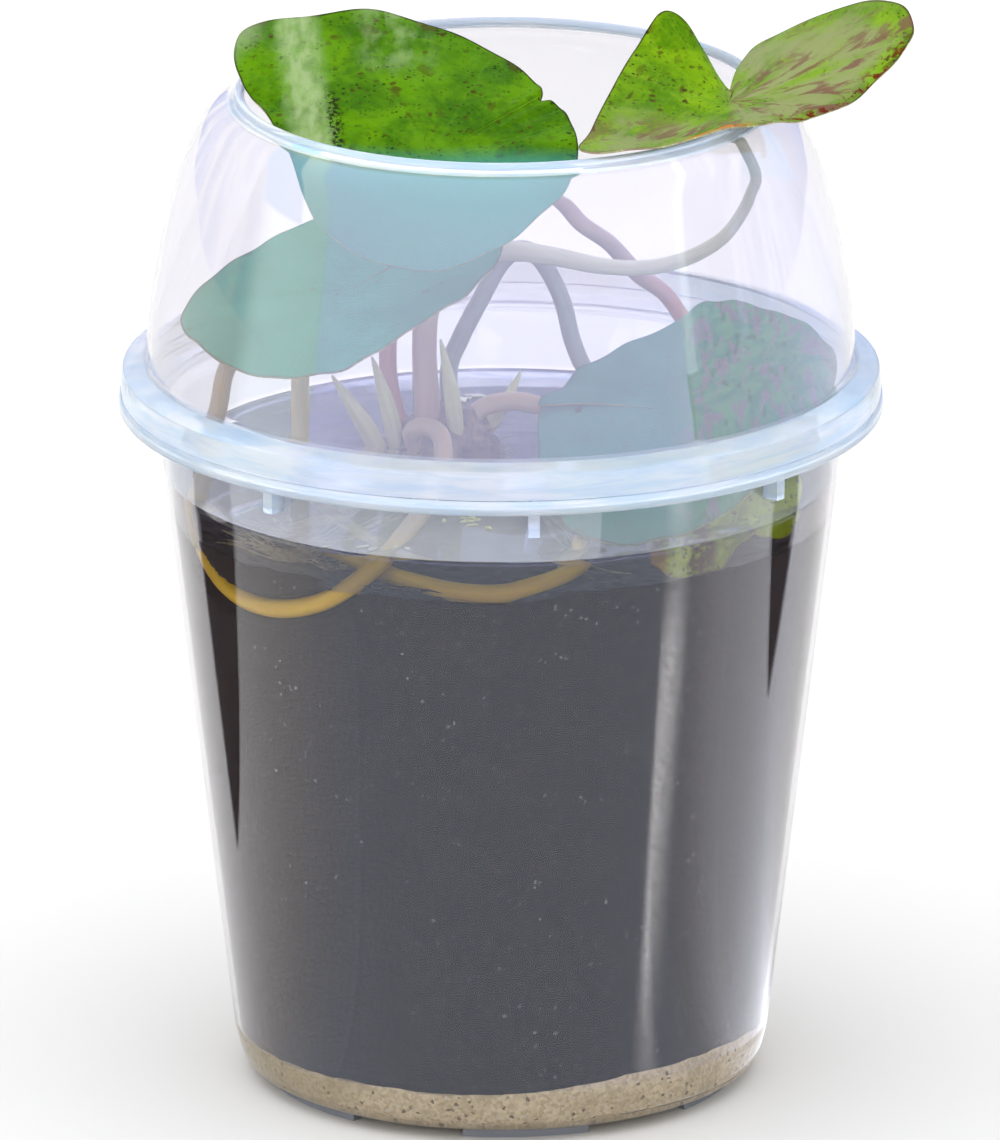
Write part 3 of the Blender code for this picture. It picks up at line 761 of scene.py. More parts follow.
def layer(name, material, bottom, top, radius_at, rings, side, steps=240, dent=None):
    """A round layer of fill between the faces bottom(x, y) and top(x, y), out to radius_at(z).

    side lists where its side has rows of points, as shares of the way down.
    """
    turns = np.arange(steps) * math.tau / steps
    cos, sin = np.cos(turns), np.sin(turns)
    reach = radius_at(float(top(0.0, 0.0)))
    edge_top, edge_bottom = top(reach * cos, reach * sin), bottom(reach * cos, reach * sin)
    rows = []
    for share in np.linspace(0, 1, rings + 1)[1:-1] ** 0.8:
        x, y = reach * share * cos, reach * share * sin
        rows.append(np.stack([x, y, top(x, y)], 1))
    for t in side:
        z = edge_top * (1 - t) + edge_bottom * t
        r = radius_at(z)
        row = np.stack([r * cos, r * sin, z], 1)
        rows.append(dent(row) if dent else row)
    for share in np.linspace(1, 0, 12)[1:-1]:
        x, y = rows[-1][:, :2].T * (share / (share + 1 / 11))
        rows.append(np.stack([x, y, bottom(x, y)], 1))
    middles = [(0, 0, float(face(0.0, 0.0))) for face in (top, bottom)]
    return make_object(name, *closed_rings(rows, *middles), [material])


def make_sand():
    def bottom(x, y):
        return FLOOR_Z - CLING + 0 * x

    def radius_at(z):
        """Wet sand clings to the plastic: the two surfaces just overlap."""
        heights, radii = zip(*CUP_CORNER)
        return np.minimum(inner_radius(z) + CLING, np.interp(z, heights, radii) + 2 * CLING)

    sand = layer("sand_bed", sand_material(), bottom, uneven_sand, radius_at, 20, np.linspace(0, 1, 16))
    dress(sand, "sand", "sand")


def make_soil():
    def top(x, y):
        return soil_top(x, y) + 1.1 * fractal(x, y, 5, 30) + 0.35 * fractal(x, y, 6, 5)

    def bottom(x, y):
        return uneven_sand(x, y) + 0.1

    routes = (ROUTES["lower_left"], ROUTES["upper_left"])
    loops = np.concatenate([smooth_points(route, 400) for route in routes])
    loops = loops[np.hypot(loops[:, 0], loops[:, 1]) > LOOP_R]

    def dent(row):
        """Pushes the side in where a stem lies between it and the wall."""
        for i, point in enumerate(row):
            away = loops - point
            outward = point * (1, 1, 0) / math.hypot(point[0], point[1])
            across = np.linalg.norm(away - (away @ outward)[:, None] * outward, axis=1)
            depth = DENT_DEPTH * np.clip(1 - (across / DENT_HALF) ** 2, 0, 1) ** 0.5
            row[i] = point - outward * depth.max()
        return row

    side = np.concatenate([np.arange(0, 0.125, 0.0055), np.linspace(0.125, 1, 62)])
    soil = layer("soil_bed", soil_material(), bottom, top, fill_radius, 56, side, 400, dent)
    dress(soil, "soil", "soil")


def make_water():
    def top(x, y):
        """The water climbs the wall a little."""
        return WATER_TOP + 0.7 * np.exp((np.hypot(x, y) - fill_radius(WATER_TOP)) / 1.3)

    def bottom(x, y):
        return soil_top(x, y) - 2.5

    def radius_at(z):
        return fill_radius(z) - 0.15

    water = layer("pond_water", water_material(), bottom, top, radius_at, 60, np.linspace(0, 1, 10))
    water.data.materials.append(clear_plastic("clear water side", (0.97, 0.98, 0.97), 0.0))
    for face in water.data.polygons:
        face.material_index = int(face.normal.z < 0.5)
    dress(water, "water", "water")


# Leaves

BLADE_COLUMNS = 260
BLADE_ROWS = 44
BLADE_THICK = 0.45
MARGIN_POINTS = 1400


def newell_normal(margin):
    """The upward normal of the plane that fits a closed margin best."""
    points = smooth_points(margin, 28, closed=True)
    normal = np.cross(points, np.roll(points, -1, axis=0)).sum(0)
    normal /= np.linalg.norm(normal)
    return normal if normal[2] > 0 else -normal


def make_leaf(name, slot, margin, joint, bulge, skins, seed, overlap, waves):
    """A leaf blade, spread from its joint to its margin, with a slit from the margin's first point."""
    joint = np.array(joint, float)
    normal = newell_normal(margin)
    place = np.linspace(0, 1, BLADE_COLUMNS)
    reach = place * (1 + overlap) - overlap / 2
    turns = np.round(reach * MARGIN_POINTS).astype(int) % MARGIN_POINTS
    edge = smooth_points(margin, MARGIN_POINTS, closed=True)[turns]
    source = np.random.default_rng(seed)
    ruffle = 0
    for k in (5, 8, 13, 19):
        ruffle = ruffle + source.uniform(0.3, 1) * np.sin(place * math.tau * k + source.uniform(0, 6))
    away = edge - joint
    height = away @ normal
    flat = away - height[:, None] * normal
    lift = np.clip(1 - np.minimum(place, 1 - place) / 0.08, 0, 1) ** 1.5 * np.where(place > 0.5, 1, -1)
    lift *= 0.9 if overlap else 0.0
    rows, uvs = [], []
    for share in np.linspace(0, 1, BLADE_ROWS)[1:] ** 0.9:
        rise = height * share**2 + bulge * 4 * share * (1 - share) + ruffle * waves * share**3 + lift * share
        fan = np.sin(place * math.tau * 13) * 0.10 * share * (1 - share * 0.4)
        rows.append(joint + flat * share + (rise + fan)[:, None] * normal)
        uvs.append(np.stack([place, np.full(BLADE_COLUMNS, share)], 1))
    faces = [tuple(i + 1 for i in f) for f in grid_faces(len(rows), BLADE_COLUMNS)]
    faces += [(0, 1 + i, 2 + i) for i in range(BLADE_COLUMNS - 1)]
    verts, uvs = np.concatenate([[joint]] + rows), np.concatenate([[[0.5, 0.0]]] + uvs)
    leaf = make_object("blade_" + name, verts, faces, skins, uvs)
    face_out(leaf.data, Vector(normal))
    under = {"material_offset": 1, "material_offset_rim": 1}
    apply_modifier(leaf, "SOLIDIFY", thickness=BLADE_THICK * MM, offset=0.0, **under)
    sharpen(leaf, 50)
    dress(leaf, slot, "leaf_" + name)


JOINTS = {
    "upper_left": (-18, -40, 247.5),
    "lower_left": (-37, -14, 206),
    "right": (56, -16, 254.5),
    "lower_right": (39, -18, 176),
    "old": (60, -38, 159),
}

MARGINS = {
    "upper_left": (
        (9.4, -15.5, 254.5), (10.2, -11, 256), (8, -6, 257.2), (0, 4, 261), (-15, 14, 265),
        (-32, 18, 268), (-50, 18, 267), (-62, 14, 266), (-66, 4, 262), (-64, -7, 257),
        (-59, -17, 253.5), (-55, -27, 250), (-51, -38, 246), (-48, -50, 240), (-42, -60, 233),
        (-30, -65, 228), (-14, -66, 227), (0, -61, 231), (10, -53, 237), (17, -45, 243), (19, -37, 248),
        (17.6, -26.5, 252), (15.6, -20.2, 253.8), (12.8, -16.8, 254.6),
    ),
    "lower_left": (
        (-79, -14, 198), (-74, -4, 204), (-64, 6, 209), (-53, 12, 213), (-39, 15, 218), (-25, 13, 222),
        (-13, 8, 223), (-4, -1, 222), (0, -12, 219), (-1, -26, 216), (-8, -37, 212), (-18, -45, 208),
        (-30, -50, 201), (-41, -52, 196), (-53, -50, 194), (-65, -42, 194), (-74, -30, 196),
    ),
    "right": (
        (57, -11, 256), (54, -2, 257), (50, 8, 261), (46, 14, 266), (41, 16, 269), (37, 12, 267),
        (32, 0, 262), (26, -24, 258), (22, -44, 255.5), (19, -58, 255), (25, -61, 255),
        (35, -58, 255.2), (45, -51, 255.2), (52, -44, 255.2), (60, -38, 254.6), (68, -30, 253.5),
        (75, -24, 253), (86, -18, 255), (93, -14, 260), (99, -8, 265), (102, -2, 269), (100, 4, 273),
        (94, 9, 274), (85, 14, 271), (74, 20, 264), (65, 22, 259), (60, 17, 256), (58.5, 5, 255.5),
    ),
    "lower_right": (
        (83, -8, 186), (80, 4, 188), (74, 12, 190), (66, 16, 192), (56, 18, 194), (49, 17, 192),
        (41, 16, 187), (30, 13, 183), (20, 8, 179), (14, 2, 175), (10, -5, 174), (9, -22, 171),
        (10, -40, 166), (15, -58, 160), (24, -69, 157.4), (37, -67, 157.4), (49, -62, 160),
        (61, -53, 165), (73, -38, 172), (81, -20, 181),
    ),
    "old": (
        (36, -68, 153), (41, -66, 148.5), (47, -63, 146.5), (53, -59, 148.5), (57, -56, 152.5),
        (61, -52.5, 155), (65, -47.5, 152.5), (70, -39, 151), (73, -32, 156), (74, -27, 161),
        (70, -20, 162), (62, -22, 160.5), (52, -32, 159), (43, -46, 158), (37, -59, 157),
    ),
}

ROUTES = {
    "upper_left": (
        (-10, 3, 163), (-5, 3, 170), (3, 3, 172), (11, 1, 171), (24, -1, 168), (36, -5, 163.5),
        (42, -14, 160), (40, -26, 158.5), (32, -38, 157.5), (24, -49, 156.6), (20, -60, 155.4),
        (18.5, -68.5, 153.8), (14.5, -74.6, 151.8), (8, -78.4, 150.0), by_wall(-90, 148.2),
        by_wall(-97.5, 148.4), (-19, -72.5, 149.2), (-27, -63, 150.2), (-37, -47, 153),
        (-45, -26, 153.5), (-50, -4, 154), (-50, 12, 160), (-50, 17, 175), (-49, 20, 192),
        (-45.5, 27, 208), (-41.5, 24, 225), (-36, 4, 238), (-26, -20, 242),
    ),
    "lower_left": (
        (-20, -2, 160), (-22, -5, 166), (-19, -9, 169), (-15, -15, 168.5), (-14.5, -26, 164.5),
        (-18.5, -42, 159), (-24, -59, 156.5), (-29.5, -70, 153), by_wall(-118.7, 145.8),
        by_wall(-125, 140.5), by_wall(-132.5, 137), by_wall(-140.6, 135.5), by_wall(-148.4, 136.5),
        by_wall(-155.2, 140.3), by_wall(-159.4, 146), by_wall(-160.8, 154), (-72, -27, 166),
        (-69.5, -27, 180), (-67, -25, 190), (-59, -20, 196.5), (-47, -16, 199),
    ),
    "right": (
        (-18, 1, 162), (-18.5, 0, 175), (-19, 0, 188), (-17.5, 0, 199), (-10, 2, 208.5), (1, 3, 211),
        (14, 4, 209), (25, 3, 207), (37, 2, 207), (47, 1, 210), (54.5, 1, 214.5), (59, 0, 220.5),
        (61.8, -3, 227.5), (62.6, -7, 234.5),
    ),
    "lower_right": (
        (-12, 6, 162), (-13, 8, 178), (-10, 8, 187), (-5, 8, 197), (0, 9, 206), (5, 11, 209),
        (10, 11, 206), (15, 12, 196), (18, 13, 184), (22, 12.5, 176), (30, 6, 171.5), (37, -8, 170),
    ),
    "old": (
        (-24, 4, 162), (-27.5, 4, 175), (-28, 6, 188), (-26, 16, 203), (-15, 22, 216), (-2, 19, 225),
        (8, 15, 226), (15, 13, 221), (20, 13, 215), (27, 16, 209), (34, 20, 200), (41, 22, 194),
        (47, 23, 185), (55, 22.5, 175), (63, 13, 166), (67, -4, 162.5), (66, -22, 158.5),
    ),
}


def make_leaves():
    under = leaf_material(
        "leaf underside", (0.20, 0.22, 0.10), (0.32, 0.34, 0.17), (0.20, 0.09, 0.08),
        specks=0.3, veins=0.5, streaks=(0.26, 0.15, 0.13),
    )
    green = leaf_material(
        "speckled green leaf", (0.028, 0.098, 0.0008), (0.080, 0.205, 0.0015), (0.012, 0.018, 0.001),
        specks=0.60, veins=0.05, margin=(0.016, 0.020, 0.002), marks=upper_left_marks,
    )
    plain = leaf_material(
        "plain leaf", (0.015, 0.28, 0.18), (0.030, 0.36, 0.24), (0.01, 0.14, 0.10),
        specks=0.08, veins=0.03, margin=(0.05, 0.08, 0.05),
    )
    streaked = leaf_material(
        "streaked leaf", (0.055, 0.150, 0.0010), (0.150, 0.285, 0.0040), (0.020, 0.020, 0.002),
        specks=0.55, veins=0.06, margin=(0.030, 0.020, 0.003), marks=right_marks,
    )
    mottled = leaf_material(
        "mottled leaf", (0.025, 0.200, 0.165), (0.050, 0.255, 0.215), (0.02, 0.11, 0.08),
        specks=0.2, veins=0.03, margin=(0.05, 0.07, 0.05), marks=lower_right_marks,
    )
    old = leaf_material(
        "yellowing leaf", (0.410, 0.550, 0.001), (0.600, 0.760, 0.006), (0.090, 0.020, 0.006),
        specks=0.45, veins=0.10, margin=(0.40, 0.36, 0.06), marks=old_marks,
    )
    # Name, slot, the margin's point where the slit starts, bulge, skins, overlap at the slit and waves
    leaves = (
        ("upper_left", "green_leaf", 0, -1.0, (green, under), 0.02, 0.5),
        ("lower_left", "plain_leaf", 7, 0.8, (plain, under), 0.02, 0.25),
        ("right", "green_leaf", 0, 0.4, (streaked, under), 0.0, 0.3),
        ("lower_right", "mottled_leaf", 10, 1.0, (mottled, under), 0.03, 0.4),
        ("old", "old_leaf", 0, 0.4, (old, old), 0.0, 0.5),
    )
    for seed, (name, slot, slit, bulge, skins, overlap, waves) in enumerate(leaves, 3):
        margin = MARGINS[name][slit:] + MARGINS[name][:slit]
        make_leaf(name, slot, margin, JOINTS[name], bulge, skins, seed, overlap, waves)


def make_stems():
    skins = {
        name: stem_material(name + " stem", *tones, *heights)
        for name, heights, *tones in (
            ("golden", (153, 160), (0.76, 0.50, 0.001), (0.50, 0.40, 0.30), (0.60, 0.27, 0.001)),
            ("brown", (190, 206), (0.52, 0.34, 0.26), (0.66, 0.68, 0.56), (0.50, 0.45, 0.40)),
            ("pink", (185, 208), (0.52, 0.20, 0.16), (0.46, 0.38, 0.40), (0.52, 0.30, 0.30)),
            ("grey green", (165, 180), (0.45, 0.40, 0.30), (0.34, 0.38, 0.38), (0.20, 0.23, 0.26)),
        )
    }
    stems = (
        ("upper_left", (2.4, 2.2), "golden", "gold_stem"),
        ("lower_left", (2.4, 2.2), "golden", "gold_stem"),
        ("right", (3.3, 2.9, 2.0, 1.5, 1.4), "brown", "brown_stem"),
        ("lower_right", (2.3, 2.1), "grey green", "brown_stem"),
        ("old", (2.3, 1.9), "pink", "brown_stem"),
    )
    for seed, (name, radii, skin, slot) in enumerate(stems, 1):
        # The last two points stand square under the blade at its joint
        normal = newell_normal(MARGINS[name])
        route = (*ROUTES[name], *(tuple(np.array(JOINTS[name]) - normal * back) for back in (5.5, 0.5)))
        dress(make_tube("stem_" + name, route, radii, skins[skin], seed), slot, "petiole_" + name)


SHOOT_RINGS = 60
SHOOT_SIDES = 36

# Each shoot's foot, tip and largest radius
SHOOTS = (
    ((-29, -2, 159), (-42, -3, 180.5), 2.3),
    ((-26, -1, 162), (-32, -2, 185), 2.2),
    ((-11, -3, 164), (-15, -7, 191), 2.1),
    ((-4, 8, 162), (5, 9.5, 178), 1.8),
    ((-20, 8, 163), (-21.5, 12.5, 199), 2.0),
)

CROWN_SCARS = 26
CROWN_FIBRES = 150
ROOT_POINTS = 26
ROOT_SHORTEST = 17

# Each bundle's middle, its spread and how many fibres it has
ROOTS = (
    (
        (
            (-22, -2, 152), (-32, -16, 149), (-42, -36, 148.8), (-51, -49, 150), (-59, -46, 151.5),
            (-65, -38, 151),
        ),
        8.0, 46,
    ),
    (((-16, -4, 152), (-20, -18, 149), (-27, -36, 148.6), (-37, -53, 148.7), (-45, -57, 151.5)), 5.0, 14),
    (((-6, 0, 152), (2, -14, 149), (12, -34, 149), (18, -52, 149.4), (22, -64, 149.8)), 5.0, 14),
)


# Where flecks lie, how far they spread, how many there are and which skin they have
FLECKS = (
    ((-7.0, -42.0, 156.3), (4.0, 6.0, 0.15), 12, 0),
    ((-8.0, 58.0, 156.3), (3.5, 3.0, 0.15), 9, 1),
    ((-46.0, -6.0, 156.3), (2.0, 5.0, 0.15), 6, 0),
    ((-28.0, -68.0, 156.2), (5.0, 3.0, 0.15), 6, 1),
    ((24.0, -62.0, 156.3), (5.0, 4.0, 0.15), 7, 1),
)


def shoot_taper(along):
    return 0.12 + 0.88 * np.sin(np.pi * (0.22 + 0.78 * along) ** 0.8) ** 0.9


def make_shoots():
    """Young leaves rolled into points. Their edges meet in a crease that winds up the shoot."""
    tones = (0.64, 0.58, 0.34), (0.58, 0.62, 0.30), (0.80, 0.80, 0.58)
    pale = stem_material("pale shoot", *tones, 158, 176, 0.4)
    tones = (0.20, 0.22, 0.12), (0.035, 0.085, 0.050), (0.09, 0.15, 0.11)
    dark = stem_material("dark rolled leaf", *tones, 165, 178)
    t = np.linspace(0, 1, SHOOT_RINGS)
    turns = np.arange(SHOOT_SIDES) / SHOOT_SIDES * math.tau
    bend = np.sin(t * math.pi)[:, None] * np.array([0.5, -0.6, 0.0])
    for index, (foot, tip, radius) in enumerate(SHOOTS, 1):
        foot, tip = np.array(foot, float), np.array(tip, float)
        path = foot + (tip - foot) * t[:, None] + bend
        verts, faces, uvs = tube_arrays(path, np.maximum(shoot_taper(t) * radius, 0.06), SHOOT_SIDES)
        for row in range(SHOOT_RINGS):
            ring = verts[row * SHOOT_SIDES:(row + 1) * SHOOT_SIDES]
            crease = np.exp(-((np.angle(np.exp(1j * (turns - 4.2 - 2.2 * t[row]))) / 0.28) ** 2))
            flute = 0.05 * np.sin(turns * 5)
            ring[:] = path[row] + (ring - path[row]) * (1 - 0.22 * crease + flute)[:, None]
        shoot = make_object(f"young_leaf_{index}", verts, faces, [dark if index == 5 else pale], uvs)
        dress(shoot, "shoot", f"shoot_{index}")


def make_crown():
    """The rootstock: knobs where old stems fell off, with short fibres on it."""
    shape = bmesh.new()
    bmesh.ops.create_icosphere(shape, subdivisions=5, radius=1.0)
    scars = [Vector(v).normalized() for v in rng.normal(size=(CROWN_SCARS, 3))]
    for vertex in shape.verts:
        x, y, z = vertex.co
        knobs = math.sin(7 * x + 2 * z) * math.sin(6 * y - 3 * x) + 0.6 * math.sin(9 * z + 4 * y)
        near = min((vertex.co - s).length for s in scars)
        swell = 1 + 0.07 * knobs + 0.015 * math.sin(31 * x + 9 * z) * math.sin(27 * y - 14 * z)
        swell += 0.07 * math.exp(-((near - 0.20) / 0.07) ** 2) - 0.05 * math.exp(-(near / 0.11) ** 2)
        vertex.co = Vector([(c * swell * r + at) * MM for c, r, at in zip((x, y, z), CROWN_R, CROWN_AT)])
    material = plain_skin("rootstock", (0.018, 0.012, 0.008), (0.30, 0.19, 0.09), 2.4)
    crown = from_shape("rootstock", shape, [material])
    crown.data.shade_smooth()
    dress(crown, "crown", "crown")
    tubes = []
    for _ in range(CROWN_FIBRES):
        out = rng.normal(size=3)
        out /= np.linalg.norm(out)
        start = np.array(CROWN_AT) + out * np.array(CROWN_R) * 0.98
        length = rng.uniform(2, 7)
        down = np.array([0, 0, -rng.uniform(0.1, 0.8)])
        points = []
        for t in (0, 0.35, 0.7, 1.0):
            points.append(start + (out + down * t) * length * t + rng.normal(size=3) * 0.25 * t)
        tubes.append(tube_arrays(smooth_points(points, 8), np.linspace(0.16, 0.05, 8), 4))
    material = plain_skin("dry fibre", (0.16, 0.11, 0.06), (0.38, 0.30, 0.18), 1.5)
    dress(make_tubes("rootstock_fibres", tubes, material), "root")


def make_roots():
    """Bundles of fine pale fibres that fan out over the soil towards the wall."""
    material = plain_skin("root fibre", (0.50, 0.38, 0.19), (0.90, 0.77, 0.48), 2.0, 0.5)
    up = np.array([0, 0, 1.0])
    t = np.linspace(0, 1, ROOT_POINTS)
    for index, (route, spread, count) in enumerate(ROOTS, 1):
        centre = smooth_points(route, ROOT_POINTS)
        side = np.cross(np.gradient(centre, axis=0), up)
        side /= np.linalg.norm(side, axis=1)[:, None]
        tubes = []
        for k in range(count):
            fan = rng.normal() * spread * t**1.6
            wave = rng.uniform(0.5, 1.8) * np.sin(t * rng.uniform(8, 20) + rng.uniform(0, 6)) * t
            lift = np.clip(rng.normal() * 2.0, -1.2, 3.5) * t**2
            lift = lift + 0.5 * np.sin(t * rng.uniform(6, 14) + rng.uniform(0, 6)) * t
            end = int(rng.integers(ROOT_SHORTEST, ROOT_POINTS + 1))
            path = (centre + side * (fan + wave)[:, None] + up * lift[:, None])[:end]
            r = np.hypot(path[:, 0], path[:, 1])
            path[:, :2] *= np.minimum(1, (fill_radius(path[:, 2]) - 0.5) / np.maximum(r, 1))[:, None]
            path[:, 2] = np.clip(path[:, 2], soil_top(path[:, 0], path[:, 1]) - 0.3, WATER_TOP - 0.5)
            thick = rng.uniform(0.10, 0.28) if k > 3 else 0.45
            radii = np.linspace(thick, thick * 0.5, end * 2)
            tubes.append(tube_arrays(smooth_points(path, end * 2), radii, 5))
        dress(make_tubes(f"root_fibres_{index}", tubes, material), "root", f"root_{index}")


def make_flecks():
    """Bits of old leaf afloat on the water, a few of them by the wall."""
    yellow = plain_skin("yellow fleck", (0.55, 0.55, 0.05), (0.70, 0.72, 0.25), 1.5)
    pale = plain_skin("pale fleck", (0.60, 0.66, 0.50), (0.80, 0.80, 0.70), 1.5)
    for index, (at, spread, count, skin) in enumerate(FLECKS, 1):
        tubes = []
        for _ in range(count):
            middle = np.array(at) + rng.normal(size=3) * spread
            length = rng.uniform(0.7, 2.0)
            turn = rng.uniform(0, math.tau)
            along = np.array([math.cos(turn), math.sin(turn), 0.0]) * length
            points = [middle - along, middle + rng.normal(size=3) * (0.3, 0.3, 0.05), middle + along]
            radii = np.sin(np.linspace(0.25, 2.9, 7)) * rng.uniform(0.5, 1.1)
            tube = tube_arrays(smooth_points(points, 7), radii, 6)
            tube[0][:, 2] = at[2] + (tube[0][:, 2] - at[2]) * 0.4
            tubes.append(tube)
        dress(make_tubes(f"flecks_{index}", tubes, (yellow, pale)[skin]), "shoot")


# Light, floor and camera

ELEVATION = 17.3
CAMERA_AWAY = 6.0
LENS = 761.7
AIM_X = -0.00025
AIM_Z = 0.129
FRONT_LIGHT = (2.45, 2.55, 4.05)
HIGH_FRONT_LIGHT = (1.8, 1.9, 3.3)
LEFT_LIGHT = (2.4, 2.8, 3.0)
SIDE_LIGHT = (0.56, 0.62, 0.96)
SIDE_STREAKS = (1.6, 1.7, 2.7)
PATCH_LIGHT = (0.15, 0.9, 1.9)
RIGHT_PATCH_LIGHT = (0.5, 0.9, 1.5)
RIGHT_LIGHT = (3.4, 3.8, 4.6)
SOFT_LIGHT_LOW = 0.95
SOFT_LIGHT_HIGH = 2.0
SOFT_LIGHT_FROM = (-0.25, -0.45, 0.86)
FLOOR_EDGE = 4000.0
CARD_EDGE = 3995
CARD_COLUMNS = 41


def make_world():
    """White surroundings. Only mirrors see the bright blue front and what lies beside it."""
    world = bpy.data.worlds.new("white studio")
    bpy.context.scene.world = world
    world.use_nodes = True
    world.cycles.sampling_method = "NONE"
    s = Nodes(world.node_tree)
    direction = s.node("TexCoord").outputs["Generated"]
    x, y, z = s.split(direction)
    # How far to the side a mirrored ray goes, in degrees from the camera's direction
    level = math.cos(math.radians(ELEVATION))
    side = s.times(s.math("ARCTAN2", x, s.minus(level, y)), 180 / math.pi)
    side = s.math("DIVIDE", side, s.math("MULTIPLY_ADD", s.times(z, z), 0.28, 1.0))
    width = s.math("ABSOLUTE", side)
    slant = s.math("MULTIPLY_ADD", s.minus(side, 52.0), 0.0175, z)
    # Zones by side and height, each laid over those before it
    zones = (
        (s.step(width, 31.8, 32.8, 1, 0), s.mix(s.step(z, 0.3, 0.95), FRONT_LIGHT, HIGH_FRONT_LIGHT)),
        (s.band(side, -51.0, -44.0, -32.8, -31.8), LEFT_LIGHT),
        (s.band(side, 31.8, 32.6, 33.6, 34.6), RIGHT_LIGHT),
        (s.times(s.band(side, -49.5, -48.5, -38.5, -37.8), s.step(z, 0.27, 0.31)), PATCH_LIGHT),
        (s.times(s.band(side, 51.5, 52.2, 69, 71), s.step(slant, 0.34, 0.37)), RIGHT_PATCH_LIGHT),
    )
    beam = s.node("CombineXYZ", {0: side, 1: s.times(z, 6.0)}).outputs[0]
    streaks = s.step(s.noise(beam, 4.0, 2.0), 0.40, 0.66)
    right = s.times(s.step(streaks, 0, 1, 0.45, 1.0), s.step(side, 72.0, 54.0))
    right = s.mix(right, SIDE_LIGHT, SIDE_STREAKS)
    left = s.times(s.step(width, 44.0, 50.0), s.step(streaks, 1, 0))
    left = s.mix(left, (1.0, 1.0, 1.05), SIDE_LIGHT)
    mirrored = s.mix(s.step(side, 20.0, 30.0), left, right)
    for zone, light in zones:
        mirrored = s.mix(zone, mirrored, light)
    towards = {0: direction, 1: Vector(SOFT_LIGHT_FROM).normalized()}
    towards = s.node("VectorMath", towards, operation="DOT_PRODUCT").outputs["Value"]
    scattered = s.step(towards, -0.4, 1.0, SOFT_LIGHT_LOW, SOFT_LIGHT_HIGH)
    light_path = s.node("LightPath").outputs
    glossy, diffuse = light_path["Glossy Depth"], light_path["Diffuse Depth"]
    colour = s.mix(s.math("GREATER_THAN", diffuse, 0.5), mirrored, scattered)
    straight = s.math("LESS_THAN", s.plus(glossy, diffuse), 0.5)
    s.link(s.mix(straight, colour, (1.0, 1.0, 1.0)), s.tree.nodes["Background"].inputs["Color"])


def make_floor():
    material = Shader("pale floor").finish((0.66, 0.66, 0.66), 0.9, Specular_IOR_Level=0.0)
    shape = bmesh.new()
    bmesh.ops.create_grid(shape, x_segments=2, y_segments=2, size=FLOOR_EDGE * MM)
    from_shape("floor", shape, [material])


# What the cup's wall mirrors of the floor: two dark cards behind it and a bright strip before it
LEFT_CARD = ((-176, 70), (-384, 58), (-356, 232))
RIGHT_CARD = ((270, 80), (388, 70), (380, 190))
STRIP_FROM = (58, -64)
STRIP_TO = (312, -181)
STRIP_HALF = (9.0, 38.0)
# Other cards: name, reach from the cup's axis, span in degrees, light, fading ends and height
CARDS = (
    ("front_card", (560, CARD_EDGE), (-62, 62), FRONT_LIGHT, None, 0.5),
    ("near_card", (80, 555), (-80, 80), (0.86, 0.98, 1.16), (0.2, 0.2), 0.7),
    ("left_card", (560, CARD_EDGE), (-98, -61.6), LEFT_LIGHT, (0.35, 0.04), 0.6),
    ("right_card", (560, CARD_EDGE), (61.6, 150), (1.35, 1.45, 2.1), (0.02, 0.42), 0.6),
    ("side_card", (67, 700), (60, 132), (1.5, 1.54, 1.66), (0.3, 0.3), 0.8),
)


def make_card(name, verts, material, uvs=None, faces=None):
    """A card on the floor that only mirrors see."""
    card = make_object(name, verts, faces or [range(len(verts))], [material], uvs)
    card.visible_camera = card.visible_diffuse = card.visible_shadow = False


def glow_material(name, colour, strength=1.0, fade=None):
    """Light for a card. fade(s) gives the share of it that shows at each place."""
    material = bpy.data.materials.new(name)
    material.use_nodes = True
    material.cycles.emission_sampling = "NONE"
    s = Nodes(material.node_tree)
    s.tree.nodes.clear()
    glow = s.node("Emission", {"Color": paint(colour), "Strength": strength})
    shows = s.math("GREATER_THAN", s.node("LightPath").outputs["Glossy Depth"], 0.5)
    if fade:
        shows = s.times(fade(s), shows)
    clear = s.node("BsdfTransparent")
    mix = s.node("MixShader", {0: shows, 1: clear.outputs[0], 2: glow.outputs[0]})
    s.node("OutputMaterial", {0: mix.outputs[0]})
    return material


def strip_fade(s):
    """Smudged, and fading to both sides and towards both ends."""
    across, along = s.split(s.surface())[:2]
    off = s.math("ABSOLUTE", s.minus(across, 0.5))
    smudge = s.noise(s.surface((4, 60, 1)), 1.0, 4, 0.7)
    share = s.times(s.step(off, 0.0, 0.5, 1, 0), s.step(smudge, 0.25, 0.7, 0.55, 1.0))
    return s.times(share, s.step(along, 0.0, 0.25, 0.35, 1.0), s.step(along, 0.75, 1.0, 1.0, 0.2))


def end_fade(ends):
    """A fade over these shares of a card's two ends."""
    return lambda s: s.band(s.split(s.surface())[0], 0.0, ends[0], 1 - ends[1], 1.0)


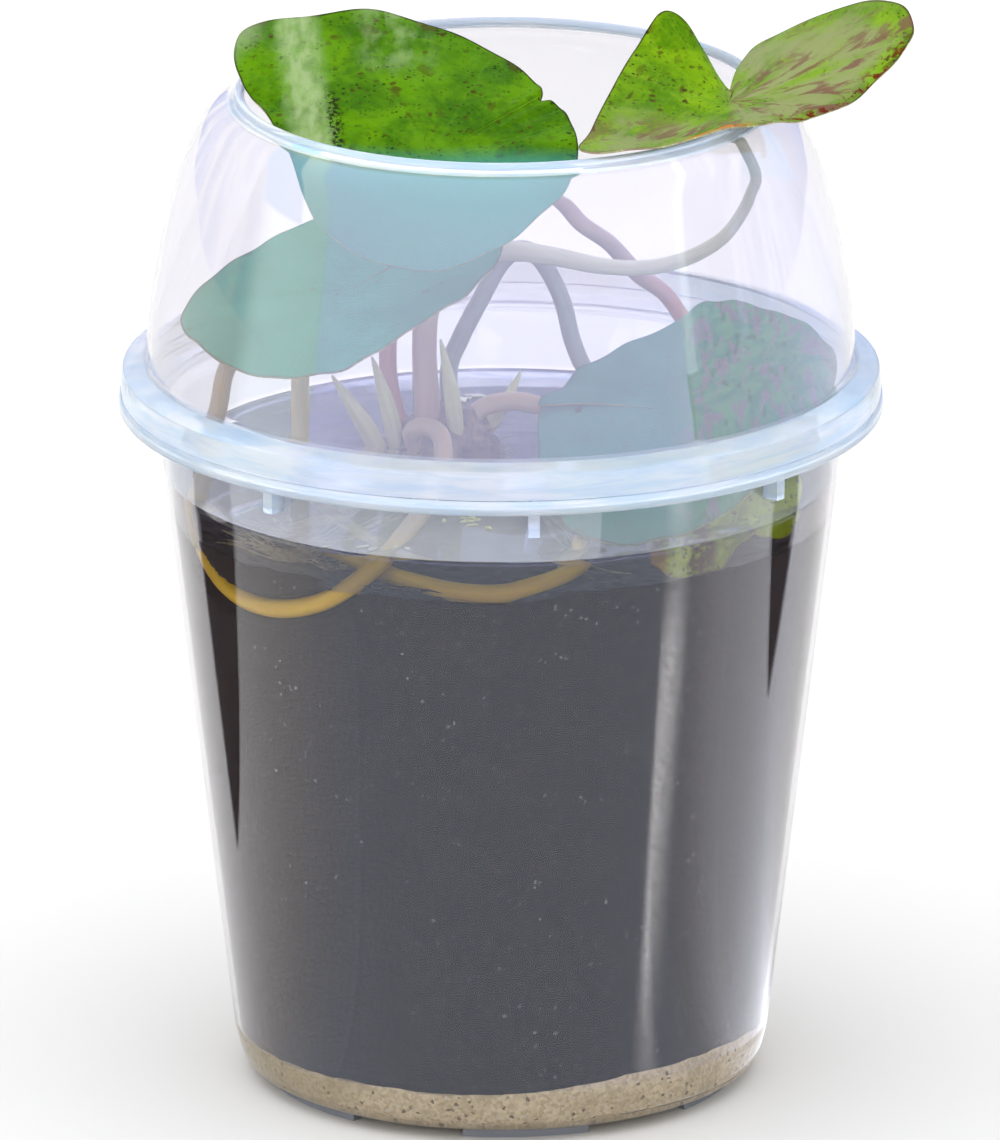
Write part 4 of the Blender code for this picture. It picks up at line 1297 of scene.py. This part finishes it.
def make_cards():
    dark = glow_material("dark card", (1.0, 0.45, 0.35), 0.014)
    for name, corners in (("dark_card_left", LEFT_CARD), ("dark_card_right", RIGHT_CARD)):
        make_card(name, [(x, y, 1.0) for x, y in corners], dark)
    start, end = (np.array([*point, 2.0]) for point in (STRIP_FROM, STRIP_TO))
    side = np.cross(end - start, (0, 0, 1)) / np.linalg.norm(end - start)
    near, far = side * STRIP_HALF[0], side * STRIP_HALF[1]
    glow = glow_material("bright strip", (1.0, 1.0, 1.0), 5.0, strip_fade)
    corners = [start - near, start + near, end + far, end - far]
    make_card("bright_strip", corners, glow, [(0, 0), (1, 0), (1, 1), (0, 1)])
    for name, reach, span, light, ends, height in CARDS:
        verts, uvs = [], []
        for row, r in enumerate(reach):
            for share in np.linspace(0, 1, CARD_COLUMNS):
                turn = math.radians(span[0] + (span[1] - span[0]) * share)
                c, s = math.cos(turn), math.sin(turn)
                # A card that runs to the floor's edge ends square, as the floor does
                away = r / max(abs(c), abs(s)) if r == CARD_EDGE else r
                verts.append((away * s, -away * c, height))
                uvs.append((share, row))
        material = glow_material(name, light, fade=end_fade(ends) if ends else None)
        make_card(name, verts, material, uvs, grid_faces(2, CARD_COLUMNS))


def make_camera():
    elevation = math.radians(ELEVATION)
    back = Vector((0, -math.cos(elevation), math.sin(elevation)))
    data = bpy.data.cameras.new("camera")
    data.lens = LENS
    data.sensor_width = 36.0
    data.clip_end = 50.0
    camera = bpy.data.objects.new("camera", data)
    camera.rotation_mode = "QUATERNION"
    camera.location = Vector((AXIS_X + AIM_X, 0, AIM_Z)) + back * CAMERA_AWAY
    camera.rotation_quaternion = (-back).to_track_quat("-Z", "Y")
    bpy.context.scene.collection.objects.link(camera)
    bpy.context.scene.camera = camera


make_cup()
make_lid()
make_sand()
make_soil()
make_water()
make_leaves()
make_stems()
make_shoots()
make_crown()
make_roots()
make_flecks()

make_world()
make_floor()
make_cards()
make_camera()
scene = bpy.context.scene
scene.view_settings.view_transform = "Standard"
scene.view_settings.look = "None"
scene.cycles.max_bounces = 24
scene.cycles.transmission_bounces = 24
scene.cycles.transparent_max_bounces = 24
